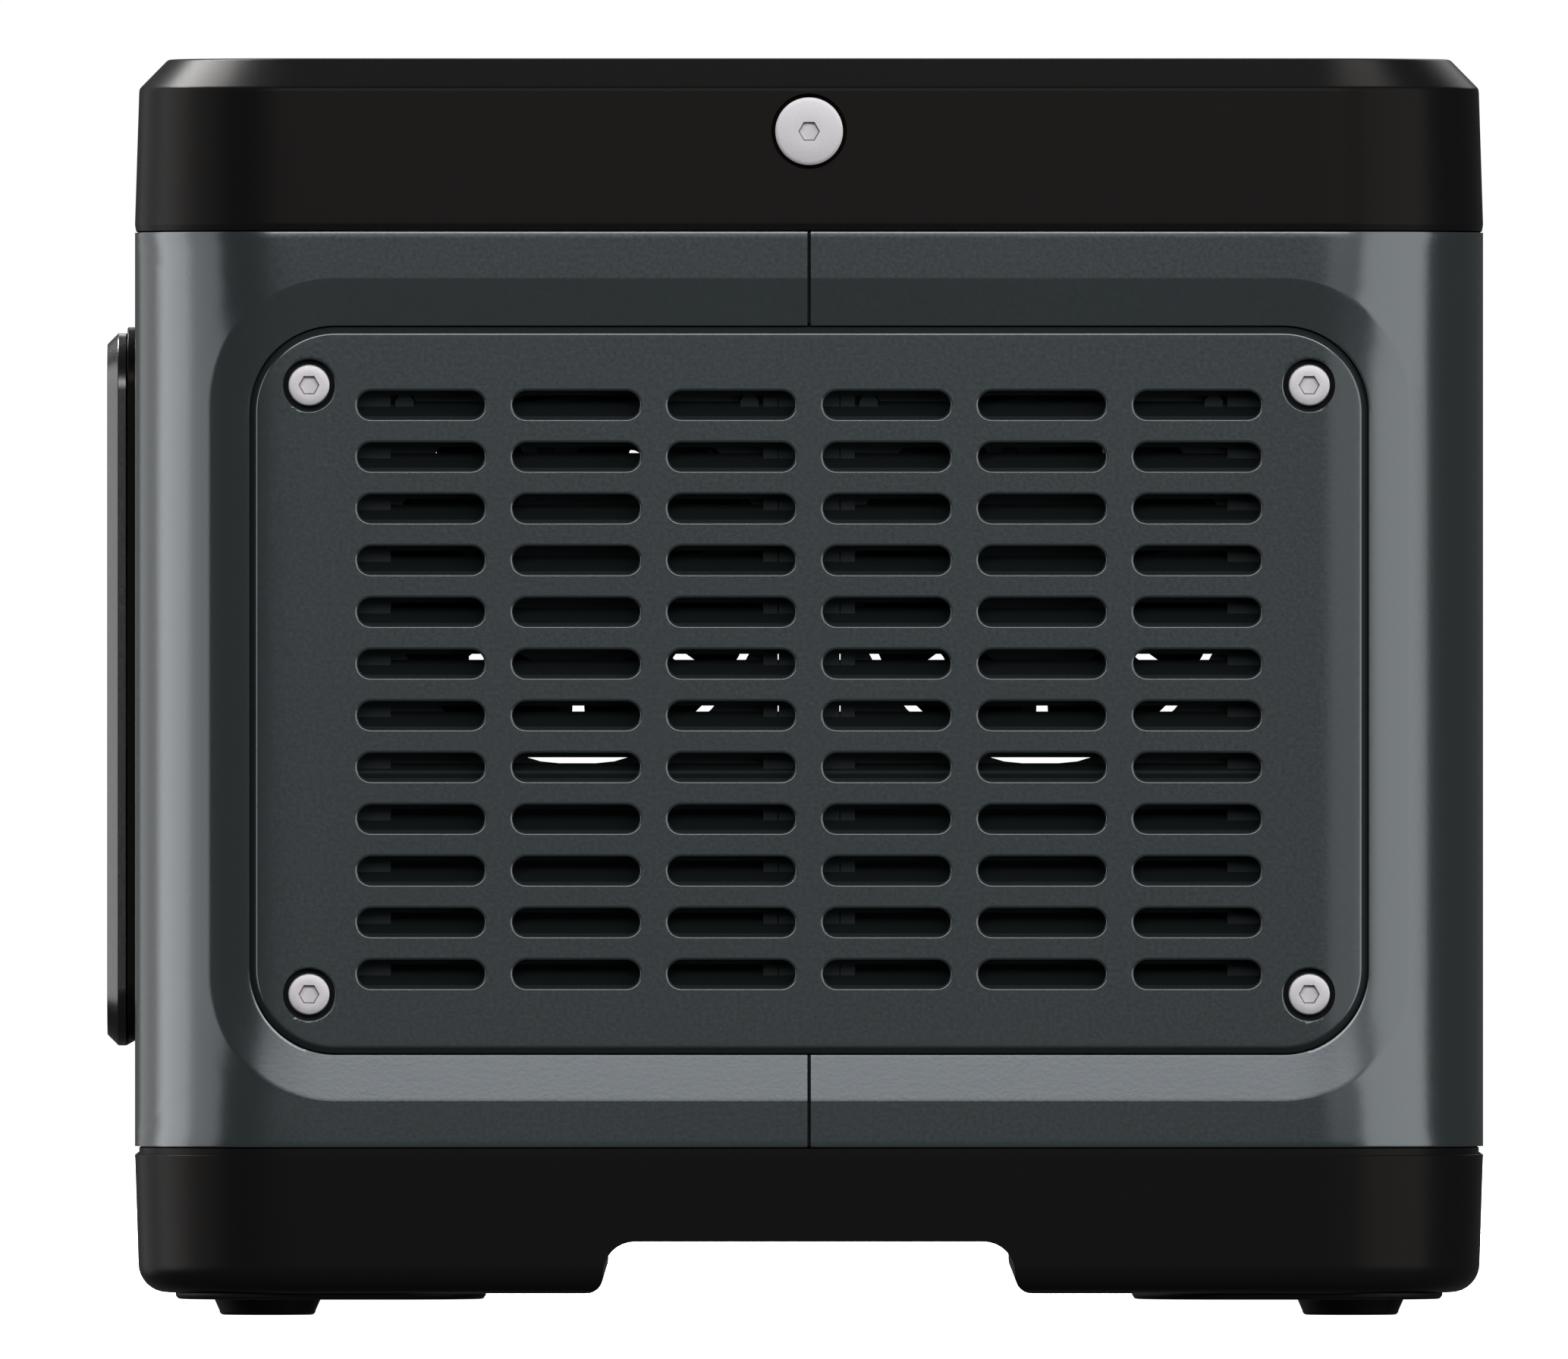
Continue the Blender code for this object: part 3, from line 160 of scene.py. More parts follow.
def filleted(corners, radii, steps):
    """Points and outward normals round a polygon whose corners are arcs: each arc's centre lies on the corner's
    bisector, radius / sin(half the corner) away, and its normal turns from one side's to the next side's."""
    corners = np.array(corners, float)
    radii = np.broadcast_to(np.array(radii, float), len(corners))
    ahead = np.roll(corners, -1, axis=0) - corners
    ahead /= np.linalg.norm(ahead, axis=1)[:, None]
    behind = np.roll(ahead, 1, axis=0)
    first = np.stack((behind[:, 1], -behind[:, 0]), axis=1)
    last = np.stack((ahead[:, 1], -ahead[:, 0]), axis=1)
    cross = behind[:, 0] * ahead[:, 1] - behind[:, 1] * ahead[:, 0]
    bend = np.arctan2(cross, (behind * ahead).sum(axis=1))
    sign = np.sign(bend)
    centres = corners + (ahead - behind) * (radii / np.abs(np.sin(bend)))[:, None]
    turn = np.arctan2(first[:, 1], first[:, 0])[:, None] + bend[:, None] * np.linspace(0, 1, steps + 1)
    normals = np.stack((np.cos(turn), np.sin(turn)), axis=2)
    points = centres[:, None] + (radii * sign)[:, None, None] * normals
    return points.reshape(-1, 2), normals.reshape(-1, 2)


def rectangle(half_a, half_b, radius, steps, middle=(0, 0)):
    """A rounded rectangle's points and normals, anticlockwise round its middle."""
    a, b = middle
    return filleted([(a + half_a, b - half_b), (a + half_a, b + half_b), (a - half_a, b + half_b),
                     (a - half_a, b - half_b)], radius, steps)


def carried(profile, outline, axes=UPRIGHT, origin=(0, 0, 0)):
    """A profile carried round an outline: origin + (outline + outward x normal, along) turned onto three axes."""
    points, normals = outline
    profile = np.array(profile, float)
    flat = points[None] + profile[:, None, :1] * normals[None]
    along = np.broadcast_to(profile[:, None, 1:], (*flat.shape[:2], 1))
    return np.array(origin) + np.concatenate((flat, along), axis=2) @ np.array(axes, float)


def solid(grid):
    """A grid of rings that wrap round, with its first and last rings filled."""
    return grid, True, (0, len(grid) - 1)


def make_mesh(name, surfaces):
    """One mesh of several grids (points by row and column, whether rows wrap round, which rows are filled),
    welded where they meet and facing outward."""
    points, faces, start = [], [], 0
    for grid, wraps, filled in surfaces:
        rows, columns = grid.shape[:2]
        index = np.arange(start, start + rows * columns).reshape(rows, columns)
        right = np.roll(index, -1, axis=1)
        keep = slice(None) if wraps else slice(0, -1)
        quads = np.stack((index[:-1, keep], right[:-1, keep], right[1:, keep], index[1:, keep]), axis=-1)
        faces += quads.reshape(-1, 4).tolist() + [index[row].tolist() for row in filled]
        points.append(grid.reshape(-1, 3))
        start += rows * columns
    mesh = bpy.data.meshes.new(name)
    mesh.from_pydata(np.concatenate(points).tolist(), [], faces)
    build = bmesh.new()
    build.from_mesh(mesh)
    bmesh.ops.remove_doubles(build, verts=build.verts, dist=2e-6)
    bmesh.ops.recalc_face_normals(build, faces=build.faces)
    build.to_mesh(mesh)
    build.free()
    return mesh


def shade(piece, sharp):
    """Shades a piece smooth but for edges sharper than an angle; large faces lead, so flats stay flat to the eye."""
    piece.data.shade_smooth()
    piece.data.set_sharp_from_angle(angle=np.radians(sharp))
    lead = piece.modifiers.new("even_normals", "WEIGHTED_NORMAL")
    lead.keep_sharp = True


def settle(piece, sharp=35):
    """Applies a piece's modifiers and shades it again."""
    lead = piece.modifiers.get("even_normals")
    if lead:
        piece.modifiers.remove(lead)
    graph = bpy.context.evaluated_depsgraph_get()
    mesh = bpy.data.meshes.new_from_object(piece.evaluated_get(graph))
    piece.modifiers.clear()
    old, piece.data = piece.data, mesh
    bpy.data.meshes.remove(old)
    shade(piece, sharp)


def make_piece(name, surfaces, material, body, slot, *stands_for, sharp=35):
    """A named piece of some surfaces and a material, seated on a body in place of CAD nodes."""
    piece = bpy.data.objects.new(name, make_mesh(name, surfaces))
    bpy.context.scene.collection.objects.link(piece)
    piece.data.materials.append(material)
    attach(piece, body)
    if stands_for:
        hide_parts(*stands_for)
    shade(piece, sharp)
    return piece


def carve(piece, *solids, operation="DIFFERENCE", sharp=35):
    """Cuts closed surfaces out of a piece, or joins them to it."""
    for surfaces in solids:
        cutter = bpy.data.objects.new("cutter", make_mesh("cutter", surfaces))
        bpy.context.scene.collection.objects.link(cutter)
        step = piece.modifiers.new("carve", "BOOLEAN")
        step.operation, step.solver, step.object = operation, "EXACT", cutter
        settle(piece, sharp)
        bpy.data.objects.remove(cutter)


def soften(piece, width, steps=2, sharp=35):
    """Rounds a piece's sharp edges by a small radius."""
    bevel = piece.modifiers.new("soften", "BEVEL")
    bevel.width, bevel.segments, bevel.limit_method = width, steps, "ANGLE"
    bevel.angle_limit = np.radians(50)
    settle(piece, sharp)


def moulded_plastic(name, colour, grain_mm, roughness, depth_mm, reflection=0.5, tint="#ffffff"):
    """Moulded plastic: an even colour with faint cloudy flow marks, and a spark-eroded grain that breaks up the
    reflections, which take a faint tint. The grain is drawn a little coarse so that it shows."""
    material = bpy.data.materials.new(name)
    material.use_nodes = True
    tree = material.node_tree
    shader = tree.nodes["Principled BSDF"]
    base = np.array(linear(colour)[:3])
    place = add_node(tree, "ShaderNodeTexCoord")
    grain = add_node(tree, "ShaderNodeTexNoise", {"Scale": 1000 / grain_mm, "Detail": 2.0, "Roughness": 0.55},
                     {"Vector": (place, "Object")})
    flow = add_node(tree, "ShaderNodeTexNoise", {"Scale": 1000 / 70, "Detail": 3.0}, {"Vector": (place, "Object")})
    tone = add_node(tree, "ShaderNodeMix", {"data_type": "RGBA", 6: (*base * 0.93, 1), 7: (*base * 1.07, 1)},
                    {0: (flow, "Fac")})
    shine = add_node(tree, "ShaderNodeMapRange", {"To Min": roughness - 0.06, "To Max": roughness + 0.06},
                     {"Value": (grain, "Fac")})
    relief = add_node(tree, "ShaderNodeBump", {"Strength": 0.5, "Distance": depth_mm / 1000}, {"Height": (grain, "Fac")})
    shader.inputs["IOR"].default_value = 1.53
    shader.inputs["Specular IOR Level"].default_value = reflection
    shader.inputs["Specular Tint"].default_value = linear(tint)
    for socket, source in (("Base Color", (tone, 2)), ("Roughness", (shine, 0)), ("Normal", (relief, 0))):
        tree.links.new(source[0].outputs[source[1]], shader.inputs[socket])
    return material


black_abs = moulded_plastic("black_abs_spark_grain", "#0e0e0e", 0.7, 0.30, 0.015, 0.028, "#fff1e8")
base_top, wall_top = base_high[2], base_high[2] - GROOVE_TALL
base_profile = np.concatenate((
    [(-0.006, BASE_FLOOR), (-0.006, base_top), (-GROOVE_DEEP, base_top), (-GROOVE_DEEP, wall_top)],
    arc((-EDGE_SOFT, wall_top - EDGE_SOFT), EDGE_SOFT, 90, 0, 3),
    arc((-BASE_EDGE - BASE_DRAFT, base_low[2] + BASE_EDGE), BASE_EDGE, 0, -90, 8)))
plan = rectangle(*CASE_HALF, CASE_CORNER, CORNER_STEPS)
base_tray = make_piece("base_tray_moulding", [solid(carried(base_profile, plan, origin=CASE_MIDDLE))], black_abs,
                       "case", "black_case_plastic", "base_tray")
channel_side = np.concatenate((
    arc((CHANNEL_HALF - CHANNEL_ROUND, CHANNEL_TOP - CHANNEL_ROUND), CHANNEL_ROUND, 90, 0, 8),
    arc((CHANNEL_HALF + CHANNEL_FLARE, base_low[2] + CHANNEL_FLARE), CHANNEL_FLARE, 180, 270, 6),
    [(CHANNEL_HALF + CHANNEL_FLARE, -0.002)]))
channel_section = np.concatenate((channel_side, channel_side[::-1] * (-1, 1)))
channel = np.stack([np.insert(channel_section, 0, x, axis=1) for x in (-0.25, 0.25)]) + CASE_MIDDLE
carve(base_tray, [solid(channel)])

# Feet
# Each foot is one black rubber moulding: a thin skid plate with round corners and a short tapered foot under it,
# pressed into the base from below.
FOOT_ROUND, PLATE_CORNER, PLATE_EDGE, PLATE_LOW = 0.0111, 0.020, 0.0010, 0.0034
FOOT_X, FOOT_Y, FOOT_TAPER, FOOT_EDGE = 0.160, 0.1125, 0.0011, 0.0009
black_rubber = moulded_plastic("black_rubber_moulded", "#0d0d0d", 0.9, 0.50, 0.03, 0.06)


def circle(radius, steps, middle=(0, 0)):
    """A circle's points and normals, anticlockwise round its middle."""
    turn = np.linspace(0, 2 * np.pi, steps + 1)[:-1]
    normals = np.stack((np.cos(turn), np.sin(turn)), axis=1)
    return np.array(middle) + radius * normals, normals


for number in range(1, 5):
    low, high = (np.array(corner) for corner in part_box(f"foot_{number}"))
    middle, half = (low + high)[:2] / 2, (high - low)[:2] / 2
    plate_edge = arc((-PLATE_EDGE, PLATE_LOW + PLATE_EDGE), PLATE_EDGE, 0, -90, 4)
    plate_profile = np.concatenate(([(0, base_low[2])], plate_edge))
    plate = carried(plate_profile, rectangle(*half, PLATE_CORNER, 12, middle))
    centre = np.sign(middle) * (FOOT_X, FOOT_Y) + CASE_MIDDLE[:2]
    foot_profile = np.concatenate(([(0, PLATE_LOW + PLATE_EDGE / 2), (0, PLATE_LOW)],
                                   arc((-FOOT_TAPER - FOOT_EDGE, FOOT_EDGE), FOOT_EDGE, 0, -90, 4)))
    make_piece(f"foot_{number}_rubber", [solid(plate), solid(carried(foot_profile, circle(FOOT_ROUND, 48, centre)))],
               black_rubber, "case", "rubber", f"foot_{number}")

# Half shells
# The upright wall is two grey ABS mouldings, front and rear, that meet along the middle of each end. A black rubber
# strip behind each joint is painted shade: it keeps the gap between the halves dark. Each end is dished round its vent,
# and every edge is broken by a radius.
shell_low, shell_high = (np.array(corner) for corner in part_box("rear_shell"))
SHELL_THICK, EDGE_BREAK, EDGE_LEAN, SPLIT_HALF = 0.0022, 0.00025, 0.00008, 0.00036
DISH, DISH_HALF, DISH_LOW, DISH_HIGH, DISH_ROUND = 0.0008, 0.1244, 0.0447, 0.2151, 0.0264
VENT_HALF, VENT_LOW, VENT_HIGH, VENT_ROUND = 0.1160, 0.0542, 0.20535, 0.0179
FLAT_HALF = CASE_HALF[1] - CASE_CORNER
CORNER_RUN = FLAT_HALF + CASE_CORNER * np.pi / 2
STRIP_HALF, SHADE_STRIP_THICK = 0.0045, 0.001
FRONT_HOLE, REAR_HOLE = (0.135, 0.061, 0.130), (0.0648, 0.0298, 0.175)
FRONTWARD, REARWARD = ((1, 0, 0), (0, 0, 1), (0, -1, 0)), ((-1, 0, 0), (0, 0, 1), (0, 1, 0))


def half_ring(half, low, high, radius, sink):
    """Half of an upright rounded rectangle, from the split below to the split above, as (run along the wall, height):
    past the flat, the run is the corner's radius times the angle whose sine is the depth past the flat."""
    corner = half - radius
    level, rise = np.linspace(SPLIT_HALF, corner, 9)[:-1], np.linspace(low + radius, high - radius, 9)[1:-1]
    points = np.concatenate((
        np.stack((level, np.full(8, low)), axis=1), arc((corner, low + radius), radius, -90, 0, 32),
        np.stack((np.full(7, half), rise), axis=1), arc((corner, high - radius), radius, 0, 90, 32),
        np.stack((level[::-1], np.full(8, high)), axis=1)))
    past = np.maximum(points[:, 0] - FLAT_HALF, 0)
    run = np.minimum(points[:, 0], FLAT_HALF) + CASE_CORNER * np.arcsin(past / (CASE_CORNER - sink))
    return np.stack((run, points[:, 1]), axis=1)


def wall_edge():
    """The end wall's own border as such a half ring: along the bottom, up the corner's far edge and back."""
    corner, low, high = DISH_HALF - DISH_ROUND, shell_low[2], shell_high[2]
    level = np.append(np.linspace(SPLIT_HALF, corner, 9), np.linspace(FLAT_HALF, CORNER_RUN, 16))
    side = np.concatenate((np.linspace(low, DISH_LOW + DISH_ROUND, 17),
                           np.linspace(DISH_LOW + DISH_ROUND, DISH_HIGH - DISH_ROUND, 9)[1:-1],
                           np.linspace(DISH_HIGH - DISH_ROUND, high, 17)))
    run = np.concatenate((level, np.full(len(side) - 2, CORNER_RUN), level[::-1]))
    height = np.concatenate((np.full(len(level), low), side[1:-1], np.full(len(level), high)))
    return np.stack((run, height), axis=1), side


def on_end(run, height, sink, end, side):
    """Where a run along the wall lies: flat across the end, then round the corner, sunk along the wall's normal."""
    turn = np.maximum(run - FLAT_HALF, 0) / CASE_CORNER
    x = CASE_HALF[0] - CASE_CORNER + (CASE_CORNER - sink) * np.cos(turn)
    y = np.minimum(run, FLAT_HALF) + (CASE_CORNER - sink) * np.sin(turn)
    return np.stack((end * x, side * y, height), axis=-1) + CASE_MIDDLE


def box(half_a, half_b, start, end, axes, origin):
    """A closed box: a sharp rectangle carried from one distance to another."""
    return solid(carried([(0, start), (0, end)], rectangle(half_a, half_b, 1e-5, 1), axes, origin))


grey_abs = moulded_plastic("grey_abs_spark_grain", "#212627", 0.8, 0.21, 0.015, 0.5, "#f1f8ff")
border, wall_levels = wall_edge()
dish_edge = half_ring(DISH_HALF, DISH_LOW, DISH_HIGH, DISH_ROUND, 0)
vent_edge = half_ring(VENT_HALF, VENT_LOW, VENT_HIGH, VENT_ROUND, DISH)
toward = np.array((0, 0.036, 0.15, 0.3, 0.45, 0.6, 0.75, 0.88, 0.985))[:, None, None]
inward = np.array((0, 0.06, 0.3, 0.7, 0.94, 1))[:, None, None]
shell_sheet = np.concatenate((border + (dish_edge - border) * toward, dish_edge + (vent_edge - dish_edge) * inward))
shell_sink = np.concatenate((np.zeros(len(toward)), DISH * inward[:, 0, 0]))[:, None] + np.zeros(len(border))
shell_sink[0] = np.where(border[:, 0] < CORNER_RUN - EDGE_BREAK, EDGE_LEAN, 0)
for half_name, side, hole, axes in (("front_shell", -1, FRONT_HOLE, FRONTWARD), ("rear_shell", 1, REAR_HOLE, REARWARD)):
    ends = [(on_end(shell_sheet[..., 0], shell_sheet[..., 1], shell_sink, end, side), False, ()) for end in (-1, 1)]
    long_run = np.linspace(CASE_HALF[0] - CASE_CORNER, CASE_CORNER - CASE_HALF[0], 12)
    long_x, long_z = np.meshgrid(long_run, wall_levels)
    long_side = np.stack((long_x, np.full(long_x.shape, side * CASE_HALF[1]), long_z), axis=-1) + CASE_MIDDLE
    shell = make_piece(half_name + "_moulding", [*ends, (long_side, False, ())], grey_abs, "case", "grey_case_plastic",
                       half_name)
    wall = shell.modifiers.new("wall", "SOLIDIFY")
    wall.thickness, wall.offset, wall.use_even_offset = SHELL_THICK, -1, True
    settle(shell)
    carve(shell, [box(hole[0], hole[1], CASE_HALF[1] - 0.01, CASE_HALF[1] + 0.01, axes, CASE_MIDDLE + (0, 0, hole[2]))])
    soften(shell, EDGE_BREAK)
# Black rubber strips stand behind the split at each end, above and below the vent: painted shade that darkens the gap.
strips = []
for end in (-1, 1):
    axes = ((0, 1, 0), (0, 0, 1), (end, 0, 0))
    for low, high in ((shell_low[2], VENT_LOW - EDGE_BREAK), (VENT_HIGH + EDGE_BREAK, shell_high[2])):
        strips.append(box(STRIP_HALF, (high - low) / 2 - EDGE_BREAK, CASE_HALF[0] - SHELL_THICK - SHADE_STRIP_THICK,
                          CASE_HALF[0] - SHELL_THICK, axes, CASE_MIDDLE + (0, 0, (low + high) / 2)))
make_piece("split_shade_strips", strips, black_rubber, "case", "rubber")

# Vent panels
# Each end has a removable grey ABS panel that follows the case's round corners. Its rim is chamfered, its 72 slots
# have rounded lips and its four screw holes are counterbored.
PANEL_GAP, PANEL_THICK = 0.0003, 0.0022
SLOT_COLUMNS, SLOT_ROWS, SLOT_COLUMN_PITCH, SLOT_ROW_PITCH, SLOT_TOP_ROW = 6, 12, 0.03216, 0.01072, 0.18896
SLOT_HALF, SLOT_TALL_HALF, SLOT_END, SLOT_LIP, CUT_DEEP = 0.01315, 0.0028, 0.00279, 0.0006, 0.004
SCREW_Y, SCREW_LOW, SCREW_HIGH, SCREW_BORE, BORE_LIP = 0.1036, 0.0668, 0.1930, 0.00535, 0.0004
FLAT_PART, FLAT_ROUND = 0.1046, 0.0070
PANEL_RIM = np.array(((0, 2.2), (0, 1.45), (0.02, 1.36), (0.08, 1.28), (0.16, 1.20), (1.17, 0.17), (1.25, 0.10),
                      (1.34, 0.05), (1.42, 0.028), (1.56, 0.007), (1.64, 0), (2.6, 0))) / 1000


def end_axes(end):
    """Axes for drawing on one end of the case: across it, up it and out of it."""
    return (0, end, 0), (0, 0, 1), (end, 0, 0)


def bent_panel(rings, sinks, end):
    """Rings of (across, height) laid on the case's end: flat, or round the corner as far as the depth past the flat."""
    past = np.maximum(np.abs(rings[..., 0]) - FLAT_HALF, 0)
    out = CASE_HALF[0] - CASE_CORNER + np.sqrt((CASE_CORNER - sinks) ** 2 - past ** 2)
    return np.stack((end * out, end * rings[..., 0], rings[..., 1]), axis=-1) + CASE_MIDDLE


def lipped(lip, depth, past=0.002, steps=4):
    """A cutter's profile: from past the face in over a rounded lip, then straight down to a depth."""
    return np.concatenate(([(lip, past)], arc((lip, -lip), lip, 90, 180, steps), [(0, -depth)]))


panel_middle, panel_tall = (VENT_LOW + VENT_HIGH) / 2, (VENT_HIGH - VENT_LOW) / 2 - PANEL_GAP
rim_points, rim_normals = rectangle(VENT_HALF - PANEL_GAP, panel_tall, VENT_ROUND - PANEL_GAP, 20, (0, panel_middle))
flat_points, _ = rectangle(FLAT_PART, panel_tall - VENT_HALF + FLAT_PART, FLAT_ROUND, 20, (0, panel_middle))
rim_rings = rim_points - PANEL_RIM[:, :1, None] * rim_normals
crown = rim_rings[-1] + (flat_points - rim_rings[-1]) * np.linspace(0, 1, 9)[1:, None, None]
back = rim_points + (flat_points - rim_points) * np.linspace(1, 0, 7)[:, None, None]
panel_rings = np.concatenate((back, rim_rings[1:], crown))
panel_sinks = DISH + np.concatenate((np.full(len(back), PANEL_THICK), PANEL_RIM[1:, 1], np.zeros(len(crown))))[:, None]
slot_across = (np.arange(SLOT_COLUMNS) - (SLOT_COLUMNS - 1) / 2) * SLOT_COLUMN_PITCH
slot_up = SLOT_TOP_ROW - np.arange(SLOT_ROWS) * SLOT_ROW_PITCH
screw_places = [(across, up) for across in (-SCREW_Y, SCREW_Y) for up in (SCREW_LOW, SCREW_HIGH)]
for end, end_name in ((-1, "left"), (1, "right")):
    panel = make_piece(f"vent_panel_{end_name}_moulding", [solid(bent_panel(panel_rings, panel_sinks, end))], grey_abs,
                       "case", "grey_case_plastic", f"vent_panel_{end_name}")
    face = CASE_MIDDLE + (end * (CASE_HALF[0] - DISH), 0, 0)
    slots = [solid(carried(lipped(SLOT_LIP, CUT_DEEP), rectangle(SLOT_HALF, SLOT_TALL_HALF, SLOT_END, 8, (across, up)),
                           end_axes(end), face)) for across in slot_across for up in slot_up]
    bores = [solid(carried(lipped(BORE_LIP, CUT_DEEP), circle(SCREW_BORE, 48, place), end_axes(end), face))
             for place in screw_places]
    carve(panel, slots + bores)

# Panel screws
# Eight zinc-plated steel screws with flat round heads and a hexagon socket hold the panels to the frames behind.
# The plating is dull and slightly cloudy.
SCREW_HEAD, SCREW_SHANK, SOCKET_FLAT, SOCKET_DEEP, HEAD_EDGE = 0.0043, 0.0025, 0.00185, 0.0018, 0.00035


def socket_screw(seat, axes, head, shank, face, tip, edge, drop, socket, bevel_steps=4):
    """A turned screw: radius and height by row, the socket's rows drawn as a hexagon of radius
    flat / cos(angle from the nearest flat's middle), with a corner on the first axis."""
    turn = np.linspace(0, 2 * np.pi, 73)[:-1]
    hexagon = 1 / np.cos(turn % (np.pi / 3) - np.pi / 6)
    floor = face - SOCKET_DEEP
    inner = [(0.25 * socket, floor), (0.90 * socket, floor), (0.93 * socket, floor + 0.05 * SOCKET_DEEP),
             (socket, face - 0.04 * SOCKET_DEEP), (1.03 * socket, face)]
    rim = (head - edge, face - drop) + arc((0, 0), 1, 90, 0, bevel_steps) * (edge, drop)
    outer = np.concatenate(([(socket * 1.35, face)], rim,
                            [(head, 0), (shank, 0), (shank, tip + shank), (0.4 * shank, tip)]))
    rows = np.array([*inner, *outer])
    shape = np.where(np.arange(len(rows))[:, None] < len(inner), hexagon, 1.0)
    reach = rows[:, :1] * shape
    flat = np.stack((reach * np.cos(turn), reach * np.sin(turn), np.broadcast_to(rows[:, 1:], reach.shape)), axis=-1)
    return solid(np.array(seat) + flat @ np.array(axes, float))


def dull_metal(name, colour, roughness, metallic=0.75, cloud_mm=3):
    """Plated or rolled metal: bright metal dulled to a satin, with cloudy patches a few millimetres wide."""
    material = bpy.data.materials.new(name)
    material.use_nodes = True
    tree = material.node_tree
    shader = tree.nodes["Principled BSDF"]
    base = np.array(linear(colour)[:3])
    place = add_node(tree, "ShaderNodeTexCoord")
    cloud = add_node(tree, "ShaderNodeTexNoise", {"Scale": 1000 / cloud_mm, "Detail": 4.0}, {"Vector": (place, "Object")})
    tone = add_node(tree, "ShaderNodeMix", {"data_type": "RGBA", 6: (*base * 0.86, 1), 7: (*base * 1.08, 1)},
                    {0: (cloud, "Fac")})
    shine = add_node(tree, "ShaderNodeMapRange", {"To Min": roughness - 0.08, "To Max": roughness + 0.08},
                     {"Value": (cloud, "Fac")})
    shader.inputs["Metallic"].default_value = metallic
    tree.links.new(tone.outputs[2], shader.inputs["Base Color"])
    tree.links.new(shine.outputs[0], shader.inputs["Roughness"])
    return material


zinc = dull_metal("zinc_plated_steel", "#9a979a", 0.46, cloud_mm=0.7)
for end, end_name in ((-1, "left"), (1, "right")):
    for number, (across, up) in enumerate(screw_places, 1):
        low, high = (np.array(corner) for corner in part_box(f"vent_screw_{end_name}_{number}"))
        near, far = sorted(np.abs((low[0], high[0])))
        head_seat = far - 0.0028
        screw = socket_screw((end * head_seat, *(low + high)[1:] / 2), end_axes(end), SCREW_HEAD, SCREW_SHANK,
                             far - head_seat, near - head_seat, HEAD_EDGE, HEAD_EDGE, SOCKET_FLAT)
        make_piece(f"panel_screw_{end_name}_{number}", [screw], zinc, "case", "steel", f"vent_screw_{end_name}_{number}")

# Top lid
# The lid is one black ABS moulding with drafted sides, a broad chamfer round its top and an undercut shadow line at
# its foot. The handle well hangs in an opening in its top, and each end has a counterbore for a handle bolt.
lid_low, lid_high = (np.array(corner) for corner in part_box("top_lid"))
LID_PROFILE = np.array(((-4.0, 0), (-0.24, 0), (-0.22, 0.02), (-0.03, 1.12), (-0.01, 1.25), (0, 1.4), (-0.005, 1.8),
                        (-0.863, 28.8), (-0.89, 28.98), (-0.95, 29.4), (-1.02, 29.6), (-1.25, 29.92), (-6.5, 35.25),
                        (-6.8, 35.5), (-7.2, 35.65), (-7.8, 35.7))) / 1000
WELL_HALF, WELL_FRONT, WELL_BACK, WELL_FLOOR, WELL_CORNER = 0.184, -0.012, 0.098, 0.235, 0.003
WELL_WALL, WELL_SEAM, SEAM_LIP, PIVOT_Z = 0.003, 0.0003, 0.0004, 0.2456
BOLT_SEAT, BOLT_BORE, BOLT_LIP, BOLT_HOLE = 0.1952, 0.00785, 0.0002, 0.0043
top_lid = make_piece("top_lid_moulding", [solid(carried(LID_PROFILE, plan, origin=CASE_MIDDLE + (0, 0, lid_low[2])))],
                     black_abs, "case", "black_case_plastic", "top_lid")
well_plan = rectangle(WELL_HALF, (WELL_BACK - WELL_FRONT) / 2, WELL_CORNER, 8, (0, (WELL_BACK + WELL_FRONT) / 2))
well_deep = lid_high[2] - WELL_FLOOR + WELL_WALL
lid_opening = lipped(SEAM_LIP, well_deep + WELL_SEAM) + (WELL_WALL + WELL_SEAM, 0)
carve(top_lid, [solid(carried(lid_opening, well_plan, origin=CASE_MIDDLE + (0, 0, lid_high[2])))])
bolt_profile = lipped(BOLT_LIP, CASE_HALF[0] - BOLT_SEAT, 0.01)
for end in (-1, 1):
    place = CASE_MIDDLE + (end * CASE_HALF[0], 0, PIVOT_Z)
    bolt_bore = carried(bolt_profile, circle(BOLT_BORE, 64), end_axes(end), place)
    shank_hole = carried([(0, -0.03), (0, 0.01)], circle(BOLT_HOLE, 32), end_axes(end), place)
    carve(top_lid, [solid(bolt_bore)], [solid(shank_hole)])

# Handle well
# The handle folds into a black ABS tray with a rounded lip and a round inside corner, held by a rim under the lid.
# A fine seam is left all round between the tray and the lid.
WELL_LIP, WELL_FILLET = 0.0012, 0.0028
well_profile = np.concatenate((
    [(WELL_WALL, WELL_FLOOR - WELL_WALL)], arc((WELL_WALL - SEAM_LIP, lid_high[2] - SEAM_LIP), SEAM_LIP, 0, 90, 4),
    arc((WELL_LIP, lid_high[2] - WELL_LIP), WELL_LIP, 90, 180, 6),
    arc((-WELL_FILLET, WELL_FLOOR + WELL_FILLET), WELL_FILLET, 0, -90, 6)))
handle_well = make_piece("handle_well_moulding", [solid(carried(well_profile, well_plan, origin=CASE_MIDDLE))], black_abs,
                         "case", "black_case_plastic", "handle_well")
for end in (-1, 1):
    place = CASE_MIDDLE + (end * CASE_HALF[0], 0, PIVOT_Z)
    carve(handle_well, [solid(carried([(0, -0.03), (0, 0)], circle(BOLT_HOLE, 32), end_axes(end), place))])

# Carry handle
# The handle is a black glass-filled nylon moulding: two tall arms with round pivot ends and a bar between them, all
# one section that changes shape round the bends. It folds flat into the well and turns on a nylon bush at each end.
ARM_X, ARM_WIDE_HALF, ARM_TALL_HALF, BAR_Y, BAR_WIDE_HALF, BAR_TALL_HALF = 0.176, 0.007, 0.010, 0.088, 0.008, 0.0078
BEND, BUSH_HOLE, PUCK_EDGE = 0.016, 0.0063, 0.0020
black_nylon = moulded_plastic("black_glass_filled_nylon", "#101010", 0.5, 0.38, 0.03, 0.08)


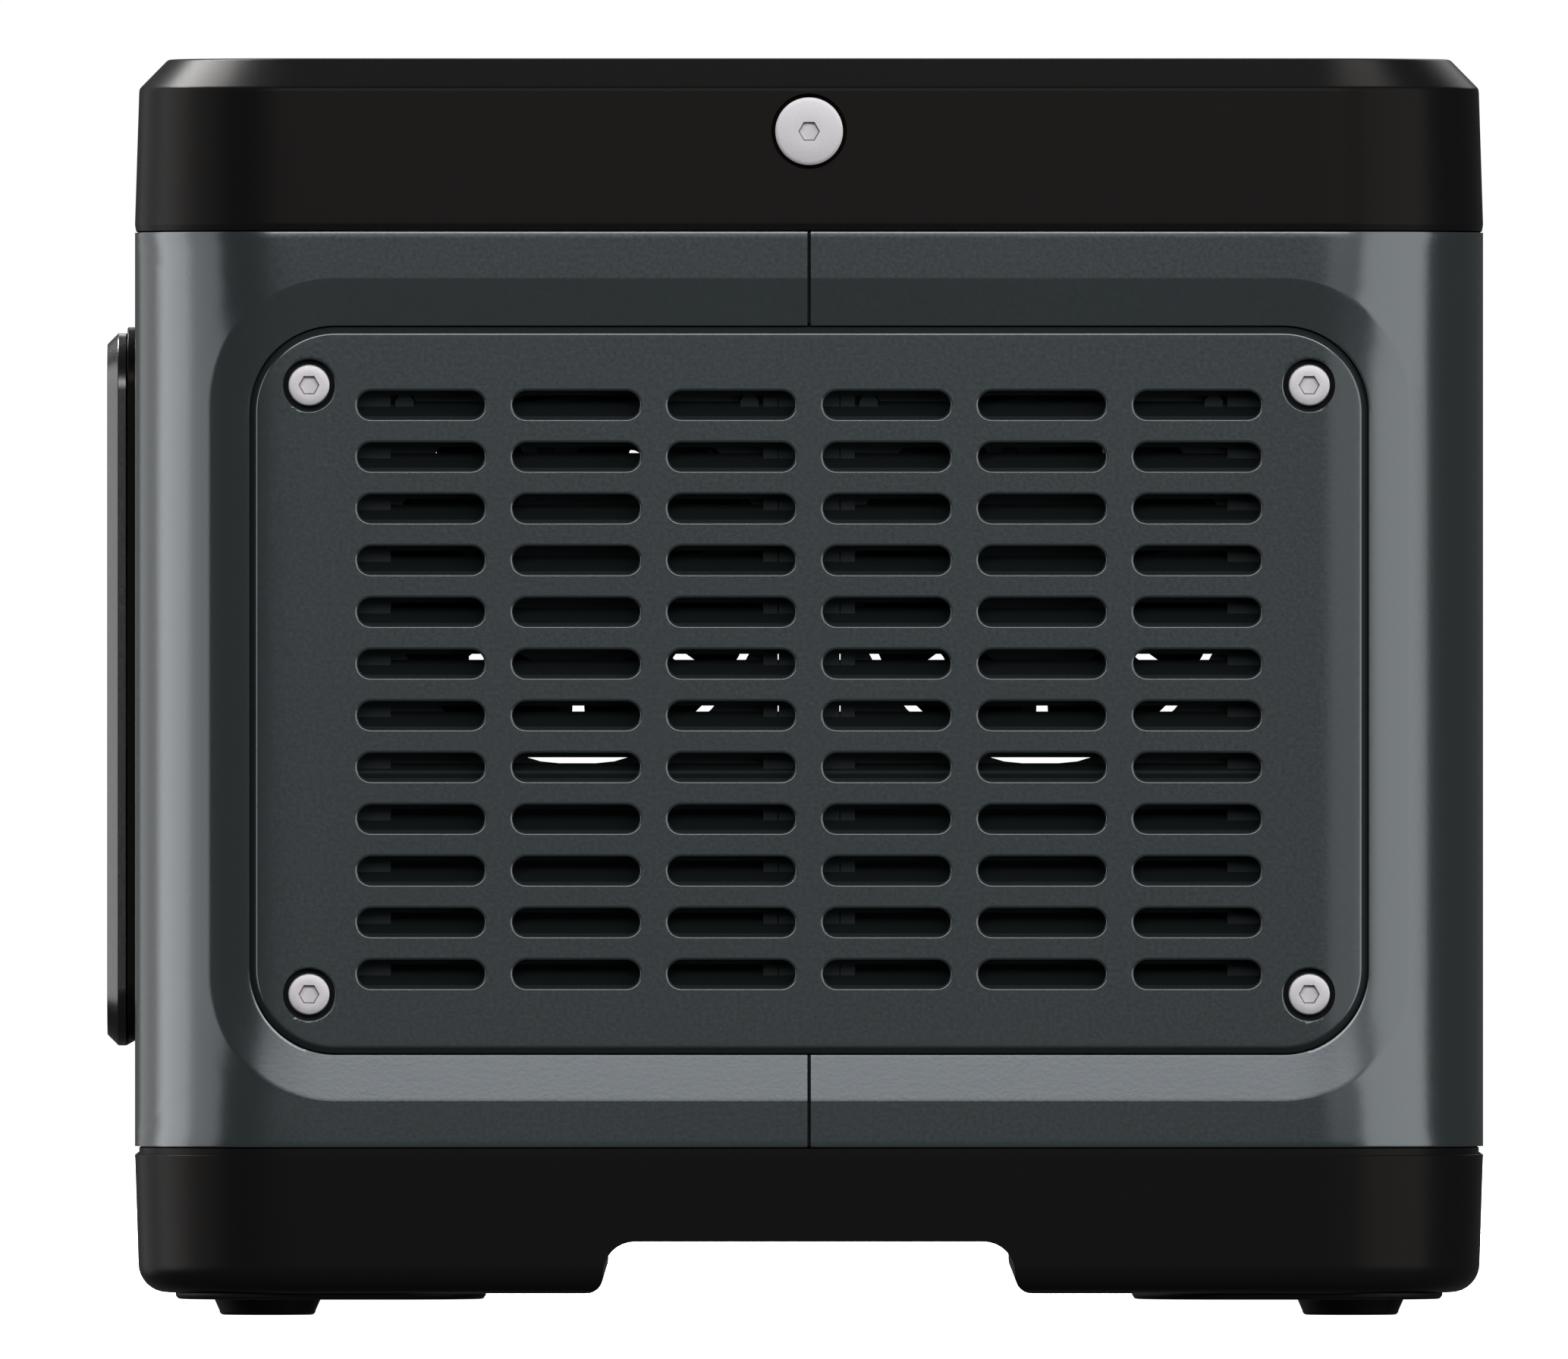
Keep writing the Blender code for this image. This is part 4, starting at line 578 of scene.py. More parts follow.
def handle_sweep():
    """A rounded section carried along half a rectangle: out along one arm, round a bend, across and back. Its half
    width and half height go from the arm's to the bar's as the path turns."""
    turn = np.radians(np.linspace(0, 90, 13))
    corner = np.array((ARM_X - BEND, BAR_Y - BEND))
    bend = corner + BEND * np.stack((np.cos(turn), np.sin(turn)), axis=1)
    arm = np.stack((np.full(8, ARM_X), np.linspace(0, corner[1], 9)[:-1]), axis=1)
    across = np.stack((np.linspace(corner[0], 0, 7)[1:], np.full(6, BAR_Y)), axis=1)
    half = np.concatenate((arm, bend, across))
    out = np.concatenate((np.zeros(8), turn, np.full(6, np.pi / 2)))
    path = np.concatenate((half, half[-2::-1] * (-1, 1)))
    outward = np.concatenate((np.stack((np.cos(out), np.sin(out)), axis=1),
                              np.stack((-np.cos(out), np.sin(out)), axis=1)[-2::-1]))
    share = np.sin(np.concatenate((out, out[-2::-1])))[:, None] ** 2
    points, _ = rectangle(1, 1, 0.55, 6)
    wide = points[:, 0] * (ARM_WIDE_HALF + (BAR_WIDE_HALF - ARM_WIDE_HALF) * share)
    tall = points[:, 1] * (ARM_TALL_HALF + (BAR_TALL_HALF - ARM_TALL_HALF) * share)
    flat = path[:, None] + wide[..., None] * outward[:, None]
    return np.concatenate((flat, tall[..., None]), axis=2) + CASE_MIDDLE + (0, 0, PIVOT_Z)


handle = make_piece("carry_handle_moulding", [solid(handle_sweep())], black_nylon, "handle", "black_case_plastic",
                    "carry_handle")
for end in (-1, 1):
    pivot = CASE_MIDDLE + (end * ARM_X, 0, PIVOT_Z)
    puck_profile = np.concatenate((arc((-PUCK_EDGE, PUCK_EDGE - ARM_WIDE_HALF), PUCK_EDGE, -90, 0, 5),
                                   arc((-PUCK_EDGE, ARM_WIDE_HALF - PUCK_EDGE), PUCK_EDGE, 0, 90, 5)))
    puck = carried(puck_profile, circle(ARM_TALL_HALF, 48), end_axes(end), pivot)
    hole = carried([(0, -0.02), (0, 0.02)], circle(BUSH_HOLE, 40), end_axes(end), pivot)
    carve(handle, [solid(puck)], operation="UNION")
    carve(handle, [solid(hole)])

# Handle grip
# A black rubber sleeve is pushed over the bar before the arms are fitted; shallow grooves run round it under the
# fingers, and its ends are plain.
SLEEVE_HALF, SLEEVE_THICK, SLEEVE_GAP, GROOVE_PITCH, GROOVE_DEPTH, GROOVE_SPAN = 0.060, 0.0016, 0.0003, 0.004, 0.0007, 0.050
along = np.linspace(-SLEEVE_HALF, SLEEVE_HALF, 241)
wave = np.clip(2.2 * np.cos(2 * np.pi * along / GROOVE_PITCH) - 1.2, 0, 1) * (np.abs(along) < GROOVE_SPAN)
edge_drop = 0.0008 * np.clip(1 - (SLEEVE_HALF - np.abs(along)) / 0.0012, 0, 1) ** 2
outer = SLEEVE_THICK - GROOVE_DEPTH * wave - edge_drop
sleeve_rows = np.concatenate((np.stack((outer, along), axis=1), [(SLEEVE_GAP, SLEEVE_HALF), (SLEEVE_GAP, -SLEEVE_HALF)],
                              [(outer[0], along[0])]))
sleeve = carried(sleeve_rows, rectangle(BAR_WIDE_HALF, BAR_TALL_HALF, 0.0043, 8), ((0, 1, 0), (0, 0, 1), (1, 0, 0)),
                 CASE_MIDDLE + (0, BAR_Y, PIVOT_Z))
make_piece("handle_grip_sleeve", [(sleeve, True, ())], black_rubber, "handle", "rubber", "handle_grip", sharp=50)

# Handle bolts
# Two zinc-plated shoulder bolts with chamfered heads pass through the lid's ends into the bushes.
BOLT_HEAD, BOLT_SHANK, BOLT_BEVEL, BOLT_DROP, BOLT_SOCKET = 0.0070, 0.0040, 0.0007, 0.00017, 0.0019
for end, end_name in ((-1, "left"), (1, "right")):
    low, high = (np.array(corner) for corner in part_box(f"handle_bolt_{end_name}"))
    near, far = sorted(np.abs((low[0], high[0])))
    seat = BOLT_SEAT + 0.0003
    bolt = socket_screw((end * seat, *(low + high)[1:] / 2), end_axes(end), BOLT_HEAD, BOLT_SHANK, far - seat, near - seat,
                        BOLT_BEVEL, BOLT_DROP, BOLT_SOCKET, bevel_steps=1)
    make_piece(f"handle_bolt_{end_name}_steel", [bolt], zinc, "case", "steel", f"handle_bolt_{end_name}")

# Front back plate
# A flat black ABS plate is screwed to the front of the case and carries the outlet panel. Only its edge shows, as a
# thin flange round the bezel.
PANEL_CORNER, PLATE_SOFT, PAST = 0.012, 0.0003, 0.002


def faced(node, axes):
    """A CAD node as seen along some axes: its middle and half size across and up, and how far out its back and its
    face lie, all from the middle of the case."""
    corners = (np.array(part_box(node)) - CASE_MIDDLE) @ np.array(axes, float).T
    low, high = corners.min(axis=0), corners.max(axis=0)
    return (low + high)[:2] / 2, (high - low)[:2] / 2, low[2], high[2]


def crowned(back, face, edge, steps=4):
    """A slab's profile: a wall from its back, a rounded edge and a flat face."""
    return np.concatenate(([(0, back)], arc((-edge, face - edge), edge, 0, 90, steps)))


def on_front(profile, outline):
    """A closed solid on the front of the case: a profile by distance out, carried round an outline of X and height."""
    return solid(carried(profile, outline, FRONTWARD, CASE_MIDDLE))


middle, half, back, face = faced("front_backplate", FRONTWARD)
backplate = make_piece("front_backplate_moulding",
                       [on_front(crowned(back, face, PLATE_SOFT), rectangle(*half, PANEL_CORNER, 16, middle))],
                       black_abs, "case", "black_case_plastic", "front_backplate")
carve(backplate, [box(FRONT_HOLE[0], FRONT_HOLE[1], back - PAST, face + PAST, FRONTWARD,
                      CASE_MIDDLE + (0, 0, FRONT_HOLE[2]))])

# Front bezel
# The frame round the outlet panel is a satin black ABS moulding with a broad chamfer outside and a narrow slope
# inside, snapped onto the back plate. The satin skin lets the chamfer catch the light along its length.
BEZEL_CHAMFER, BEZEL_RIM, BEZEL_SLOPE = 0.0023, 0.0105, 0.0010
middle, half, back, bezel_face = faced("front_bezel", FRONTWARD)
bezel_section, _ = filleted([(-BEZEL_RIM, back), (0, back), (0, bezel_face - BEZEL_CHAMFER), (-BEZEL_CHAMFER, bezel_face),
                             (BEZEL_SLOPE - BEZEL_RIM, bezel_face), (-BEZEL_RIM, bezel_face - BEZEL_SLOPE)],
                            (1e-5, 1e-5, 0.0004, 0.0004, 0.0003, 0.0003), 3)
bezel_ring = carried(np.concatenate((bezel_section, bezel_section[:1])), rectangle(*half, PANEL_CORNER, 20, middle),
                     FRONTWARD, CASE_MIDDLE)
satin_abs = moulded_plastic("black_abs_satin", "#0e0e0e", 0.7, 0.25, 0.01, 0.40)
make_piece("front_bezel_moulding", [(bezel_ring, True, ())], satin_abs, "case", "black_case_plastic", "front_bezel",
           sharp=60)

# Face plate
# The outlet panel is a gloss black polycarbonate moulding with a rounded lip at each opening. Thin frames are
# screen-printed on it in grey round the mains group, the USB group and the car group.
FACE_CORNER, FACE_EDGE, FACE_LIP, FIT = 0.0012, 0.0003, 0.0003, 0.0003
SOCKET_ROUND, WINDOW_ROUND, BUTTON_COLLAR, CAR_BODY = 0.004, 0.003, 0.0015, 0.0130
PRINT_WIDE, PRINT_THICK, PRINT_ROUND = 0.0006, 0.00004, 0.005
gloss_black = moulded_plastic("gloss_black_polycarbonate", "#090909", 6.0, 0.16, 0.002, 0.10)
grey_ink = moulded_plastic("grey_screen_ink", "#8a8d90", 0.5, 0.55, 0.01)
middle, half, face_back, panel_face = faced("face_plate", FRONTWARD)
face_plate = make_piece("face_plate_moulding",
                        [on_front(crowned(face_back, panel_face, FACE_EDGE), rectangle(*half, FACE_CORNER, 6, middle))],
                        gloss_black, "case", "gloss_panel", "face_plate")
SOCKETS = ("ac_outlet_1", "ac_outlet_2", "ac_outlet_3", "usb_ports", "dc_jacks")
BUTTON_ROUNDS = {"power_button": 0.0088, "ac_button": 0.0048, "dc_button": 0.0048}
window_middle, window_half, _, _ = faced("display_window", FRONTWARD)
car_middle, _, _, _ = faced("car_socket", FRONTWARD)
openings = [rectangle(*window_half + FIT, WINDOW_ROUND + FIT, 8, window_middle), circle(CAR_BODY + FIT, 64, car_middle)]
for name in SOCKETS:
    middle, half, _, _ = faced(name, FRONTWARD)
    openings.append(rectangle(*half + FIT, SOCKET_ROUND + FIT, 8, middle))
for name, radius in BUTTON_ROUNDS.items():
    middle, half, _, _ = faced(name, FRONTWARD)
    openings.append(rectangle(*half - BUTTON_COLLAR + FIT, radius + FIT, 12, middle))
carve(face_plate, [on_front(lipped(FACE_LIP, 0.004) + (0, panel_face), outline) for outline in openings])
print_section = np.array(((0, 0), (0, 1), (-1, 1), (-1, 0), (0, 0))) * (PRINT_WIDE, PRINT_THICK) + (0, panel_face)
print_frames = [((0.0620, 0.0345), (0.0730, 0.1065)), ((0.0320, 0.0345), (-0.0300, 0.1065)),
                ((0.0225, 0.0595), (-0.0980, 0.1290))]
prints = [(carried(print_section, rectangle(*half, PRINT_ROUND, 8, middle), FRONTWARD, CASE_MIDDLE), True, ())
          for half, middle in print_frames]
make_piece("panel_printing", prints, grey_ink, "case", "gloss_panel")

# Display
# A liquid-crystal module stands behind a smoked acrylic window that is bonded flush into the face plate. The screen
# is off, so its charge ring and its two level bars only show as paler ghosts on the dark glass.
WINDOW_EDGE, SCREEN_THICK, SEGMENT_THICK, SCREEN_HALF = 0.0003, 0.00008, 0.00003, (0.044, 0.0145)
RING_PLACE, RING_IN, RING_OUT, RING_SEGMENTS, RING_FILL = (-0.026, 0), 0.0092, 0.0116, 20, 0.78
BAR_LEFT, BAR_PITCH, BAR_COUNT, BAR_HALF, BAR_RAISE = -0.005, 0.0046, 10, (0.0017, 0.0030), 0.0065


def smoked_acrylic(name, colour):
    """Polished acrylic dyed dark: a mirror-like surface that lets a little of what lies behind it through."""
    material = bpy.data.materials.new(name)
    material.use_nodes = True
    shader = material.node_tree.nodes["Principled BSDF"]
    shader.inputs["Base Color"].default_value = linear(colour)
    shader.inputs["Roughness"].default_value = 0.04
    shader.inputs["IOR"].default_value = 1.49
    shader.inputs["Transmission Weight"].default_value = 0.9
    return material


screen_black = moulded_plastic("black_screen_film", "#101314", 4.0, 0.30, 0.004)
screen_ghost = moulded_plastic("grey_screen_segments", "#4b5357", 4.0, 0.30, 0.004)
_, _, window_back, window_face = faced("display_window", FRONTWARD)
make_piece("display_window_acrylic", [on_front(crowned(window_back, window_face, WINDOW_EDGE),
                                               rectangle(*window_half, WINDOW_ROUND, 8, window_middle))],
           smoked_acrylic("smoked_acrylic_polished", "#565d63"), "case", "display_glass", "display_window")
middle, half, module_back, module_face = faced("display_module", FRONTWARD)
screen_face = module_face + SCREEN_THICK
module = [on_front(crowned(module_back, module_face, WINDOW_EDGE), rectangle(*half, WINDOW_ROUND, 6, middle)),
          on_front([(0, module_face - SCREEN_THICK), (0, screen_face)], rectangle(*SCREEN_HALF, 0.0005, 2, middle))]
make_piece("display_module_screen", module, screen_black, "case", "black_inner_plastic", "display_module")
ring_starts = np.arange(RING_SEGMENTS) * 360 / RING_SEGMENTS + 90
ring_span = RING_FILL * 360 / RING_SEGMENTS
ring_middle = middle + RING_PLACE
segments = [np.concatenate((arc(ring_middle, RING_OUT, start, start + ring_span, 5),
                            arc(ring_middle, RING_IN, start + ring_span, start, 5))) for start in ring_starts]
segments += [rectangle(*BAR_HALF, 0.0003, 2, middle + (BAR_LEFT + bar * BAR_PITCH, raised))[0]
             for bar in range(BAR_COUNT) for raised in (-BAR_RAISE, BAR_RAISE)]
make_piece("display_segments", [on_front([(0, screen_face), (0, screen_face + SEGMENT_THICK)], (shape, np.zeros_like(shape)))
                                for shape in segments], screen_ghost, "case", "display_glass")

# Push buttons
# A round power button and two oval group buttons, moulded in dark grey ABS with a shallow dish for the fingertip. Each
# has a milky light pipe set in its dish: a ring in the round one, a bar in the others.
BUTTON_EDGE, DISH_SINK, PIPE_DEEP, PIPE_HALF, PIPE_RING = 0.0008, 0.0005, 0.0012, (0.0035, 0.0006), 0.0056
button_abs = moulded_plastic("dark_grey_abs_fine_grain", "#232526", 0.5, 0.32, 0.02, 0.25)
light_pipe = moulded_plastic("milky_polycarbonate", "#c9ccce", 2.0, 0.35, 0.01)


def dished(back, face, edge, reach, sink):
    """A button's profile: a wall, a rounded edge and a dish that deepens as the sine squared of the way in."""
    way = np.linspace(0, 1, 8)[1:]
    dish = np.stack((-edge - way * (reach - edge), face - sink * np.sin(way * np.pi / 2) ** 2), axis=1)
    return np.concatenate((crowned(back, face, edge, 5), dish))


for name, body in (("power_button", "power_key"), ("ac_button", "ac_key"), ("dc_button", "dc_key")):
    middle, half, back, face = faced(name, FRONTWARD)
    radius, half = BUTTON_ROUNDS[name], half - BUTTON_COLLAR
    profile = dished(back, face, BUTTON_EDGE, radius - 0.0002, DISH_SINK)
    make_piece(name + "_cap", [on_front(profile, rectangle(*half, radius, 16, middle))], button_abs, body,
               "button_plastic", name)
    if name == "power_button":
        section = np.array(((0, -PIPE_DEEP), (0, 0), (-0.0007, 0), (-0.0007, -PIPE_DEEP), (0, -PIPE_DEEP))) + (0, face)
        pipe = (carried(section, circle(PIPE_RING, 64, middle), FRONTWARD, CASE_MIDDLE), True, ())
    else:
        pipe = on_front(crowned(face - PIPE_DEEP, face - DISH_SINK / 2, 0.0001),
                        rectangle(*PIPE_HALF, PIPE_HALF[1] * 0.99, 6, middle))
    make_piece(name + "_light_pipe", [pipe], light_pipe, body, "button_plastic")

# Mains outlets
# Three sockets are moulded in black polyamide with a shallow round seat for the plug. Each has two blade slots and an
# earth hole, with sprung brass contacts inside.
OUTLET_EDGE, SEAT_ROUND, SEAT_DEEP, SLOT_EDGE, SLOT_DEEP = 0.0006, 0.0160, 0.0010, 0.0003, 0.0135
BLADE_SPACE, BLADE_HALF, BLADE_RAISE, EARTH_DROP, EARTH_HOLE = 0.0127, (0.0012, 0.00425), 0.004, 0.0119, 0.0026
LEAF_HALF, LEAF_OFF, LEAF_NEAR, LEAF_FAR = (0.00015, 0.0036), 0.0009, 0.0030, 0.0125
socket_black = moulded_plastic("black_polyamide_moulded", "#111112", 0.6, 0.36, 0.02, 0.10)
brass = dull_metal("rolled_brass", "#b9975a", 0.30, 1.0)
leaves = []
for number in range(1, 4):
    middle, half, back, face = faced(f"ac_outlet_{number}", FRONTWARD)
    outlet = make_piece(f"ac_outlet_{number}_socket",
                        [on_front(crowned(back, face, OUTLET_EDGE), rectangle(*half, SOCKET_ROUND, 8, middle))],
                        socket_black, "case", "socket_plastic", f"ac_outlet_{number}")
    seat = on_front(lipped(OUTLET_EDGE, SEAT_DEEP) + (0, face), circle(SEAT_ROUND, 72, middle))
    hole_profile = lipped(SLOT_EDGE, SLOT_DEEP) + (0, face - SEAT_DEEP)
    blades = [middle + (side * BLADE_SPACE / 2, BLADE_RAISE) for side in (-1, 1)]
    holes = [on_front(hole_profile, rectangle(*BLADE_HALF, 0.0002, 2, blade)) for blade in blades]
    holes.append(on_front(hole_profile, circle(EARTH_HOLE, 32, middle + (0, BLADE_RAISE - EARTH_DROP))))
    carve(outlet, [seat], holes)
    leaves += [on_front([(0, face - LEAF_FAR), (0, face - LEAF_NEAR)],
                        rectangle(*LEAF_HALF, 0.0001, 2, blade + (side * LEAF_OFF, 0)))
               for blade in blades for side in (-1, 1)]
make_piece("outlet_contacts", leaves, brass, "case", "steel")

# USB ports
# One black block holds two wide and two small ports. Each is a folded steel shell round a thin contact tongue, and
# the wide tongues carry four brass strips.
USB_SPREAD, USB_DEEP, SHELL_METAL, SHELL_SINK = 0.011, 0.0125, 0.0003, 0.0003
USB_PORTS = ((0.008, (0.0064, 0.0028), 0.0004, (0.0054, 0.0009), 0.0009, 0.0015),
             (-0.008, (0.0045, 0.0016), 0.00155, (0.0033, 0.00035), 0, 0.0010))
STRIP_PITCH, STRIP_HALF, STRIP_NEAR = 0.0025, (0.0005, 0.00004), 0.0020
nickel = dull_metal("nickel_plated_steel", "#c4c2bd", 0.28, 1.0)
middle, half, back, face = faced("usb_ports", FRONTWARD)
usb_block = make_piece("usb_ports_block",
                       [on_front(crowned(back, face, OUTLET_EDGE), rectangle(*half, SOCKET_ROUND, 8, middle))],
                       socket_black, "case", "socket_plastic", "usb_ports")
mouths, shells, tongues, strips = [], [], [], []
shell_section = np.array(((0, -USB_DEEP), (0, -SHELL_SINK), (-SHELL_METAL, -SHELL_SINK), (-SHELL_METAL, -USB_DEEP),
                          (0, -USB_DEEP))) + (0, face)
for side in (-1, 1):
    for raised, mouth_half, corner, tongue_half, tongue_up, tongue_sink in USB_PORTS:
        port = middle + (side * USB_SPREAD, raised)
        mouth = rectangle(*mouth_half, corner, 8, port)
        mouths.append(on_front(lipped(FACE_LIP, USB_DEEP) + (0, face), mouth))
        shells.append((carried(shell_section - (0.00005, 0), mouth, FRONTWARD, CASE_MIDDLE), True, ()))
        tongue = rectangle(*tongue_half, 0.0002, 3, port + (0, tongue_up))
        tongues.append(on_front(crowned(face - USB_DEEP, face - tongue_sink, 0.0001), tongue))
        if tongue_up:
            strips += [on_front([(0, face - USB_DEEP), (0, face - STRIP_NEAR)],
                                rectangle(*STRIP_HALF, 1e-5, 1, port + (at * STRIP_PITCH, tongue_up - tongue_half[1])))
                       for at in (-1.5, -0.5, 0.5, 1.5)]
carve(usb_block, mouths)
make_piece("usb_shells", shells, nickel, "case", "steel")
make_piece("usb_tongues", tongues, socket_black, "case", "socket_plastic")
make_piece("usb_contacts", strips, brass, "case", "steel")

# Car socket
# The round 12 V socket is a black polyamide body with a rolled rim, lined with a nickel-plated steel tube. A sprung
# brass button stands at its floor.
CAR_BORE, CAR_RIM, CAR_RIM_EDGE, CAR_LIP, CAR_FLOOR = 0.0106, 0.0165, 0.0007, 0.0008, 0.1040
LINER_METAL, LINER_NEAR, CONTACT_ROUND, CONTACT_TALL, CONTACT_EDGE = 0.0004, 0.0030, 0.0040, 0.0040, 0.0015
_, _, back, face = faced("car_socket", FRONTWARD)
rim_reach, bore_reach, rim_back = CAR_RIM - CAR_BODY, CAR_BORE - CAR_BODY, panel_face + FIT
car_profile = np.concatenate(([(0, back), (0, rim_back), (rim_reach, rim_back)],
                              arc((rim_reach - CAR_RIM_EDGE, face - CAR_RIM_EDGE), CAR_RIM_EDGE, 0, 90, 5),
                              arc((bore_reach + CAR_LIP, face - CAR_LIP), CAR_LIP, 90, 180, 5), [(bore_reach, CAR_FLOOR)]))
make_piece("car_socket_body", [on_front(car_profile, circle(CAR_BODY, 72, car_middle))], socket_black, "case",
           "socket_plastic", "car_socket")
liner_section = np.array(((-0.0001, CAR_FLOOR), (-0.0001, face - LINER_NEAR), (-LINER_METAL, face - LINER_NEAR),
                          (-LINER_METAL, CAR_FLOOR), (-0.0001, CAR_FLOOR)))
liner = carried(liner_section, circle(CAR_BORE, 72, car_middle), FRONTWARD, CASE_MIDDLE)
make_piece("car_socket_liner", [(liner, True, ())], nickel, "case", "steel")
make_piece("car_socket_contact", [on_front(crowned(CAR_FLOOR, CAR_FLOOR + CONTACT_TALL, CONTACT_EDGE, 6),
                                           circle(CONTACT_ROUND, 40, car_middle))], brass, "case", "steel")

# DC jacks
# Two barrel jacks share one black block; each bore has a nickel-plated spring sleeve and a pin down its middle.
JACK_SPREAD, JACK_BORE, JACK_LIP, JACK_DEEP, JACK_PIN, JACK_PIN_SINK = 0.008, 0.0040, 0.0005, 0.012, 0.0011, 0.002
middle, half, back, face = faced("dc_jacks", FRONTWARD)
jack_block = make_piece("dc_jacks_block",
                        [on_front(crowned(back, face, OUTLET_EDGE), rectangle(*half, SOCKET_ROUND, 8, middle))],
                        socket_black, "case", "socket_plastic", "dc_jacks")
jack_places = [middle + (side * JACK_SPREAD, 0) for side in (-1, 1)]
carve(jack_block, [on_front(lipped(JACK_LIP, JACK_DEEP) + (0, face), circle(JACK_BORE, 40, place)) for place in jack_places])
sleeve_section = np.array(((-0.0001, -JACK_DEEP), (-0.0001, -JACK_PIN_SINK), (-0.0004, -JACK_PIN_SINK), (-0.0004, -JACK_DEEP),
                           (-0.0001, -JACK_DEEP))) + (0, face)
jack_metal = [(carried(sleeve_section, circle(JACK_BORE, 40, place), FRONTWARD, CASE_MIDDLE), True, ()) for place in jack_places]
jack_metal += [on_front(crowned(face - JACK_DEEP, face - JACK_PIN_SINK, JACK_PIN * 0.7), circle(JACK_PIN, 24, place))
               for place in jack_places]
make_piece("dc_jack_contacts", jack_metal, nickel, "case", "steel")

# Input bay
# A black ABS box is sunk into the rear shell and held by a flange behind it. The inlets and the reset button come
# through its floor.
BAY_CORNER, BAY_WALL, BAY_FLANGE, BAY_LIP, BAY_FILLET = 0.002, 0.003, 0.006, 0.0006, 0.0015
BAY_HALF, BAY_MIDDLE, BAY_FLOOR, FLANGE_BACK, FLANGE_FACE = (0.0615, 0.0265), (0, 0.175), 0.120, 0.134, 0.1367


def on_rear(profile, outline):
    """A closed solid on the rear of the case: a profile by distance out, carried round an outline of -X and height."""
    return solid(carried(profile, outline, REARWARD, CASE_MIDDLE))


_, _, _, bay_face = faced("input_bay", REARWARD)
flange_reach = BAY_WALL + BAY_FLANGE
bay_profile = np.concatenate((
    [(BAY_WALL, BAY_FLOOR - BAY_WALL), (BAY_WALL, FLANGE_BACK), (flange_reach, FLANGE_BACK), (flange_reach, FLANGE_FACE),
     (BAY_WALL, FLANGE_FACE)], arc((BAY_WALL - EDGE_BREAK, bay_face - EDGE_BREAK), EDGE_BREAK, 0, 90, 3),
    arc((BAY_LIP, bay_face - BAY_LIP), BAY_LIP, 90, 180, 5),
    arc((-BAY_FILLET, BAY_FLOOR + BAY_FILLET), BAY_FILLET, 0, -90, 5)))
input_bay = make_piece("input_bay_moulding", [on_rear(bay_profile, rectangle(*BAY_HALF, BAY_CORNER, 6, BAY_MIDDLE))],
                       black_abs, "case", "black_case_plastic", "input_bay")
reset_middle, reset_half, reset_back, reset_face = faced("reset_button", REARWARD)
RESET_ROUND = 0.005
floor_holes = [on_rear([(0, BAY_FLOOR - 0.01), (0, BAY_FLOOR + 0.001)], circle(RESET_ROUND + FIT, 40, reset_middle))]
for name in ("ac_inlet", "solar_inlet"):
    middle, half, _, _ = faced(name, REARWARD)
    floor_holes.append(on_rear([(0, BAY_FLOOR - 0.01), (0, BAY_FLOOR + 0.001)], rectangle(*half + FIT, 0.0015, 4, middle)))
carve(input_bay, floor_holes)

# Power inlets
# The mains inlet has the usual six-sided recess with three flat nickel-plated blades; the solar inlet beside it has
# two round gold-plated pins. Both are black polyamide mouldings clipped into the bay's floor.
INLET_EDGE, INLET_LIP, INLET_FLOOR, PIN_TIP, PIN_EDGE = 0.0005, 0.0004, 0.108, 0.1195, 0.0005
MAINS_HALF, MAINS_CUT, MAINS_BLADE = (0.0116, 0.0086), 0.0040, (0.0010, 0.0020)
SOLAR_HALF, SOLAR_CORNER, SOLAR_PIN, SOLAR_SPREAD = (0.0087, 0.0057), 0.0020, 0.0017, 0.004
gold = dull_metal("gold_plated_brass", "#d8b667", 0.25, 1.0)
across, up = MAINS_HALF
mains_corners = np.array(((across, -up), (across, up - MAINS_CUT), (across - MAINS_CUT, up), (MAINS_CUT - across, up),
                          (-across, up - MAINS_CUT), (-across, -up)))
mains_middle, mains_half, back, face = faced("ac_inlet", REARWARD)
mains_recess = filleted(mains_corners + mains_middle, 0.001, 4)
mains_inlet = make_piece("ac_inlet_body", [on_rear(crowned(back, face, INLET_EDGE), rectangle(*mains_half, 0.0015, 4, mains_middle))],
                         socket_black, "case", "socket_plastic", "ac_inlet")
carve(mains_inlet, [on_rear(lipped(INLET_LIP, face - INLET_FLOOR) + (0, face), mains_recess)])
pin_profile = crowned(INLET_FLOOR - 0.0005, PIN_TIP, PIN_EDGE)
blades = [on_rear(pin_profile, rectangle(*MAINS_BLADE, 0.0003, 3, mains_middle + place))
          for place in ((-0.007, -0.002), (0.007, -0.002), (0, 0.002))]
make_piece("ac_inlet_blades", blades, nickel, "case", "steel")
solar_middle, solar_half, back, face = faced("solar_inlet", REARWARD)
solar_inlet = make_piece("solar_inlet_body", [on_rear(crowned(back, face, INLET_EDGE), rectangle(*solar_half, 0.0015, 4, solar_middle))],
                         socket_black, "case", "socket_plastic", "solar_inlet")
carve(solar_inlet, [on_rear(lipped(INLET_LIP, face - INLET_FLOOR) + (0, face),
                            rectangle(*SOLAR_HALF, SOLAR_CORNER, 6, solar_middle))])
pins = [on_rear(pin_profile, circle(SOLAR_PIN, 32, solar_middle + (side * SOLAR_SPREAD, 0))) for side in (-1, 1)]
make_piece("solar_inlet_pins", pins, gold, "case", "steel")

# Reset button
# The breaker's reset button is a white nylon stem with a dished end, held by a collar behind the bay's floor.
white_nylon = moulded_plastic("white_nylon_moulded", "#d9d8d2", 0.6, 0.45, 0.02)
make_piece("reset_button_stem", [on_rear(dished(reset_back, reset_face, BUTTON_EDGE, RESET_ROUND - 0.0002, DISH_SINK),
                                         circle(RESET_ROUND, 40, reset_middle))], white_nylon, "reset_key",
           "reset_plastic", "reset_button")

